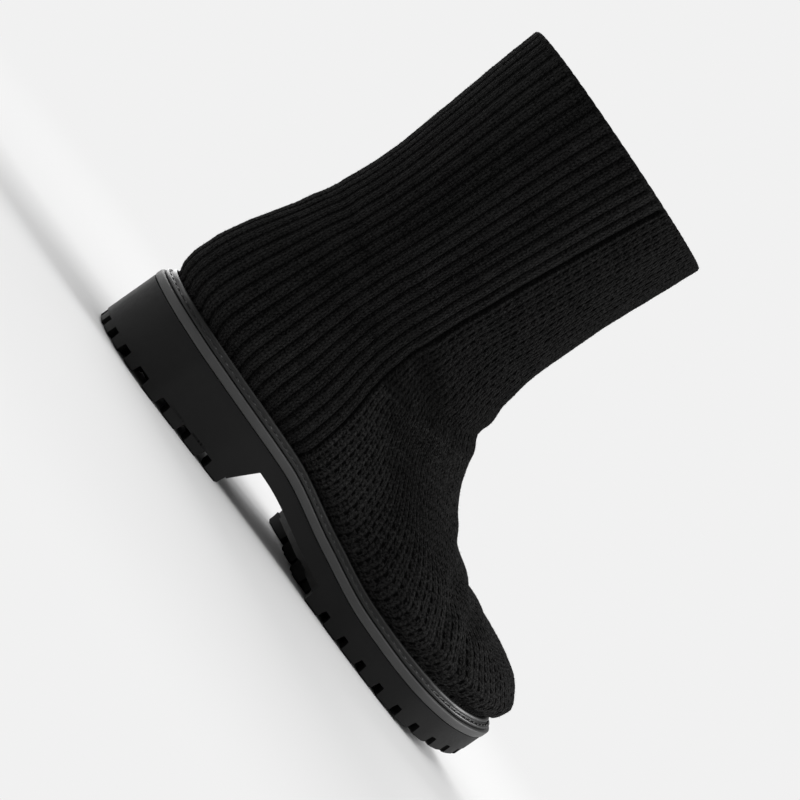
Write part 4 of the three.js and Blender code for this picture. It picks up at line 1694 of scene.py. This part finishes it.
    def heel_lugs(self) -> list[Block]:
        """The heel's edge lugs in pairs, the stars between them and the fins at its back.

        Returns:
            Points and faces of each lug.
        """
        made = []
        pitch, count, star_shift = self.heel_lug_pitch, 4, self.lug_width * 0.2
        rows = [LAST.breast - self.lug_width * 0.6 - k * pitch for k in range(count)]
        for x in rows:
            made += [self.edge_lug(self.walked_at(x, outer_side)) for outer_side in (True, False)]
            made.append(self.star_lug(x - pitch / 2 + star_shift, 0, self.fin_count * self.hair))
        hub = np.array([rows[-1] - pitch * 0.35, 0])
        turns = np.linspace(-self.fin_spread, self.fin_spread, self.fin_count)
        return made + [self.fin(hub, math.pi + turn, i * self.hair) for i, turn in enumerate(turns)]

    def forefoot_lugs(self) -> list[Block]:
        """The edge lugs round the toe and the stars inside them, two to a row where there is room.

        Returns:
            Points and faces of each lug.
        """
        start, skew = LAST.tread + self.lug_width / 2, self.tread_skew / 2
        outer = self.walked_at(start - skew, True)
        inner = self.walked_at(start + skew, False) - self.wall[0][-1]
        count = round((outer - inner) / (self.lug_width + self.notch_width))
        made = [self.edge_lug(centre) for centre in np.linspace(inner, outer, count + 1)]
        beside, between = self.star_pitch * 0.72, self.star_pitch * 0.45
        end = LAST.length - self.lug_reach - self.star_radius * 1.6
        for i, x in enumerate(np.linspace(LAST.tread + self.star_radius, end, self.star_steps)):
            turn = turn_of(x / LAST.length)
            half = min(LAST.inner_half(turn), LAST.outer_half(turn))
            room = half - self.lug_reach - self.star_radius * 0.8
            wide = room // (self.star_pitch / 2) > 1
            made += [self.star_lug(x, y, i % 2 * self.hair) for y in ((-beside, beside) if wide else (0,))]
            if wide:
                made.append(self.star_lug(x + between, 0, (2 + i % 2) * self.hair))
        return made

    def build_lugs(self) -> Piece:
        """All lugs as one piece.

        Returns:
            The lugs, each closed, in one mesh.
        """
        points, faces, used = [], [], 0
        for block, block_faces in self.heel_lugs() + self.forefoot_lugs():
            points.append(block)
            faces += [[p + used for p in corners] for corners in block_faces]
            used += len(block)
        piece = make_object("outsole_lugs", np.concatenate(points), faces)
        self.face_out(piece)
        piece.data.set_sharp_from_angle(angle=math.radians(25))
        return piece

    def build(self) -> None:
        """Builds and dresses the sole."""
        black = Rubber("black_rubber", 0.0042, 0.0072, 0.6, 0.33, 0.03, specular=0.22, is_sanded=True)
        band = Rubber("grey_rubber", 0.052, 0.064, 0.5, 0.4, 0.02, specular=0.3)
        insert = Rubber("insert_rubber", 0.115, 0.14, 0.5, 0.22, 0.02, specular=0.3)
        felt = Felt("insole_fabric", 0.006, 0.02)
        rubber = black.material()
        dress(self.build_core(), rubber, "black_rubber", "outsole")
        dress(self.build_lugs(), rubber, "black_rubber", "outsole")
        dress(self.build_band(), band.material(), "grey_rubber", "midsole_band")
        dress(self.build_insert(), insert.material(), "insert_rubber", "arch_insert")
        dress(self.build_insole(), felt.material(), "insole_fabric", "insole")


@dataclass
class Fuzz:
    """Short loose fibres that stand off the knit."""

    density: float = 430000
    length: float = 1.3
    radius: float = 0.035
    lean: float = 1.05
    seed: int = 7

    def tree(self) -> bpy.types.NodeTree:
        """Geometry nodes that set fine cones at random on a surface.

        Returns:
            The tree, with the fibres' sizes as inputs.
        """
        bench, given = Bench.for_geometry("wool_fuzz", {
            "Surface": "Geometry", "Density": "Float", "Length": "Float", "Radius": "Float",
            "Lean": "Vector", "Seed": "Int", "Finish": "Material",
        })
        spots = bench.node("GeometryNodeDistributePointsOnFaces", {
            "Mesh": given["Surface"], "Density": given["Density"], "Seed": given["Seed"],
        }).outputs
        hair = bench.wire("GeometryNodeMeshCone", {
            "Vertices": 3, "Radius Top": 0.0, "Radius Bottom": given["Radius"], "Depth": given["Length"],
        }, fill_type="NONE")
        less = bench.wire("ShaderNodeVectorMath", {0: given["Lean"], "Scale": -1.0}, operation="SCALE")
        swing = bench.wire("FunctionNodeRandomValue", {0: less, 1: given["Lean"]}, data_type="FLOAT_VECTOR")
        leaning = bench.wire("FunctionNodeEulerToRotation", {0: swing})
        turns = {0: spots["Rotation"], 1: leaning}
        turn = bench.wire("FunctionNodeRotateRotation", turns, rotation_space="LOCAL")
        size = bench.wire("FunctionNodeRandomValue", {2: 0.35, 3: 1.0}, 1, data_type="FLOAT")
        laid = {"Points": spots["Points"], "Instance": hair, "Rotation": turn, "Scale": size}
        bench.lay(given["Finish"], False, laid)
        return bench.tree

    def build(self) -> None:
        """Adds fuzz to each knitted field."""
        finish = Felt("wool_fibre", 0.005, 0.022, 0.4).material()
        tree = self.tree()
        sizes = {
            "Density": self.density, "Length": self.length * METRES, "Radius": self.radius * METRES,
            "Lean": (self.lean, self.lean, math.pi), "Seed": self.seed, "Finish": finish,
        }
        for zone in Zone:
            source = show("surface", bpy.data.objects[zone.value].data)
            dress(instances(tree, source, zone.value.replace("knit", "fuzz"), sizes), finish, "wool_knit")


@dataclass
class Studio:
    """Floor, lights and the camera at the picture's angle."""

    azimuth: float = -23
    elevation: float = 2.6
    roll: float = 55
    distance: float = 1.25
    lens: float = 130
    aim: tuple = (-0.019, 0.0065, 0.081)
    floor_level: float = 0.88
    floor_half: float = 6.0
    floor_tone: float = 0.73
    # The floor fades into the backdrop between these distances from the boot
    fade_from: float = 0.13
    fade_to: float = 0.46
    # Each lamp's name, place, size and power
    lamps: tuple = (
        ("key", (1.65, -0.35, 0.95), 1.0, 31), ("over", (0.3, 0.1, 1.9), 1.6, 11),
        ("behind", (-0.35, 1.6, 0.6), 1.6, 30), ("heel", (-1.7, 0.5, 0.7), 1.2, 8),
    )

    def glow(self, bench: Bench, kind: str, level: float, strength: float = 1.0) -> Wire:
        """An even light of a neutral colour."""
        return bench.wire(kind, {"Color": (*grey(level), 1), "Strength": strength})

    def backdrop(self) -> None:
        """The world: even and pale to the camera, dimmer as a light."""
        world = bpy.data.worlds.new("studio")
        bpy.context.scene.world = world
        world.use_nodes = True
        world.node_tree.nodes.clear()
        bench = Bench(world.node_tree)
        shown = self.glow(bench, "ShaderNodeBackground", self.floor_level)
        light = self.glow(bench, "ShaderNodeBackground", 1.0, 0.3)
        path = bench.wire("ShaderNodeLightPath", output="Is Camera Ray")
        mix = bench.wire("ShaderNodeMixShader", {0: path, 1: light, 2: shown})
        bench.node("ShaderNodeOutputWorld", {0: mix})

    def floor(self) -> None:
        """A wide pale floor that fades into the backdrop."""
        mesh = bpy.data.meshes.new("floor")
        half = self.floor_half
        corners = [(-half, -half, 0), (half, -half, 0), (half, half, 0), (-half, half, 0)]
        mesh.from_pydata(corners, [], [(0, 1, 2, 3)])
        bench, material = Bench.for_material("pale_floor")
        away = bench.wire("ShaderNodeVectorMath", {0: bench.place}, "Value", operation="LENGTH")
        matt = bench.wire("ShaderNodeBsdfDiffuse", {"Color": (*grey(self.floor_tone), 1)})
        glow = self.glow(bench, "ShaderNodeEmission", self.floor_level)
        fade = bench.soft(away, self.fade_from, self.fade_to)
        mix = bench.wire("ShaderNodeMixShader", {0: fade, 1: matt, 2: glow})
        bench.node("ShaderNodeOutputMaterial", {0: mix})
        mesh.materials.append(material)
        show("floor", mesh)

    def lamp(self, name: str, place: tuple, size: float, power: float) -> None:
        """A soft square light aimed at the boot.

        Args:
            name: the lamp's name.
            place: where it hangs, in metres.
            size: the length of its side.
            power: its strength in watts.
        """
        data = bpy.data.lights.new(name, "AREA")
        data.size = size
        data.energy = power
        light = show(name, data)
        light.location = place
        light.rotation_mode = "QUATERNION"
        light.rotation_quaternion = (Vector(self.aim) - Vector(place)).to_track_quat("-Z", "Y")

    def camera(self) -> None:
        """The camera at the picture's angle to the boot, rolled as the picture is."""
        a, e = math.radians(self.azimuth), math.radians(self.elevation)
        back = Vector((math.sin(a) * math.cos(e), -math.cos(a) * math.cos(e), math.sin(e)))
        data = bpy.data.cameras.new("camera")
        data.lens = self.lens
        data.clip_end = 50
        camera = show("camera", data)
        turn = (-back).to_track_quat("-Z", "Y").to_matrix() @ Matrix.Rotation(math.radians(self.roll), 3, "Z")
        camera.matrix_world = Matrix.Translation(Vector(self.aim) + back * self.distance) @ turn.to_4x4()
        bpy.context.scene.camera = camera

    def build(self) -> None:
        """Sets up the whole studio."""
        self.backdrop()
        self.floor()
        for name, place, size, power in self.lamps:
            self.lamp(name, place, size, power)
        self.camera()
        bpy.context.scene.view_settings.view_transform = "Standard"


def main() -> None:
    """Builds the boot piece by piece, then the studio."""
    logging.basicConfig(level=logging.INFO, format="%(name)s: %(message)s")
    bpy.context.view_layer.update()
    Sole().build()
    WeltRing().build()
    KnitUpper().build()
    Fuzz().build()
    Studio().build()


if __name__ == "__main__":
    main()
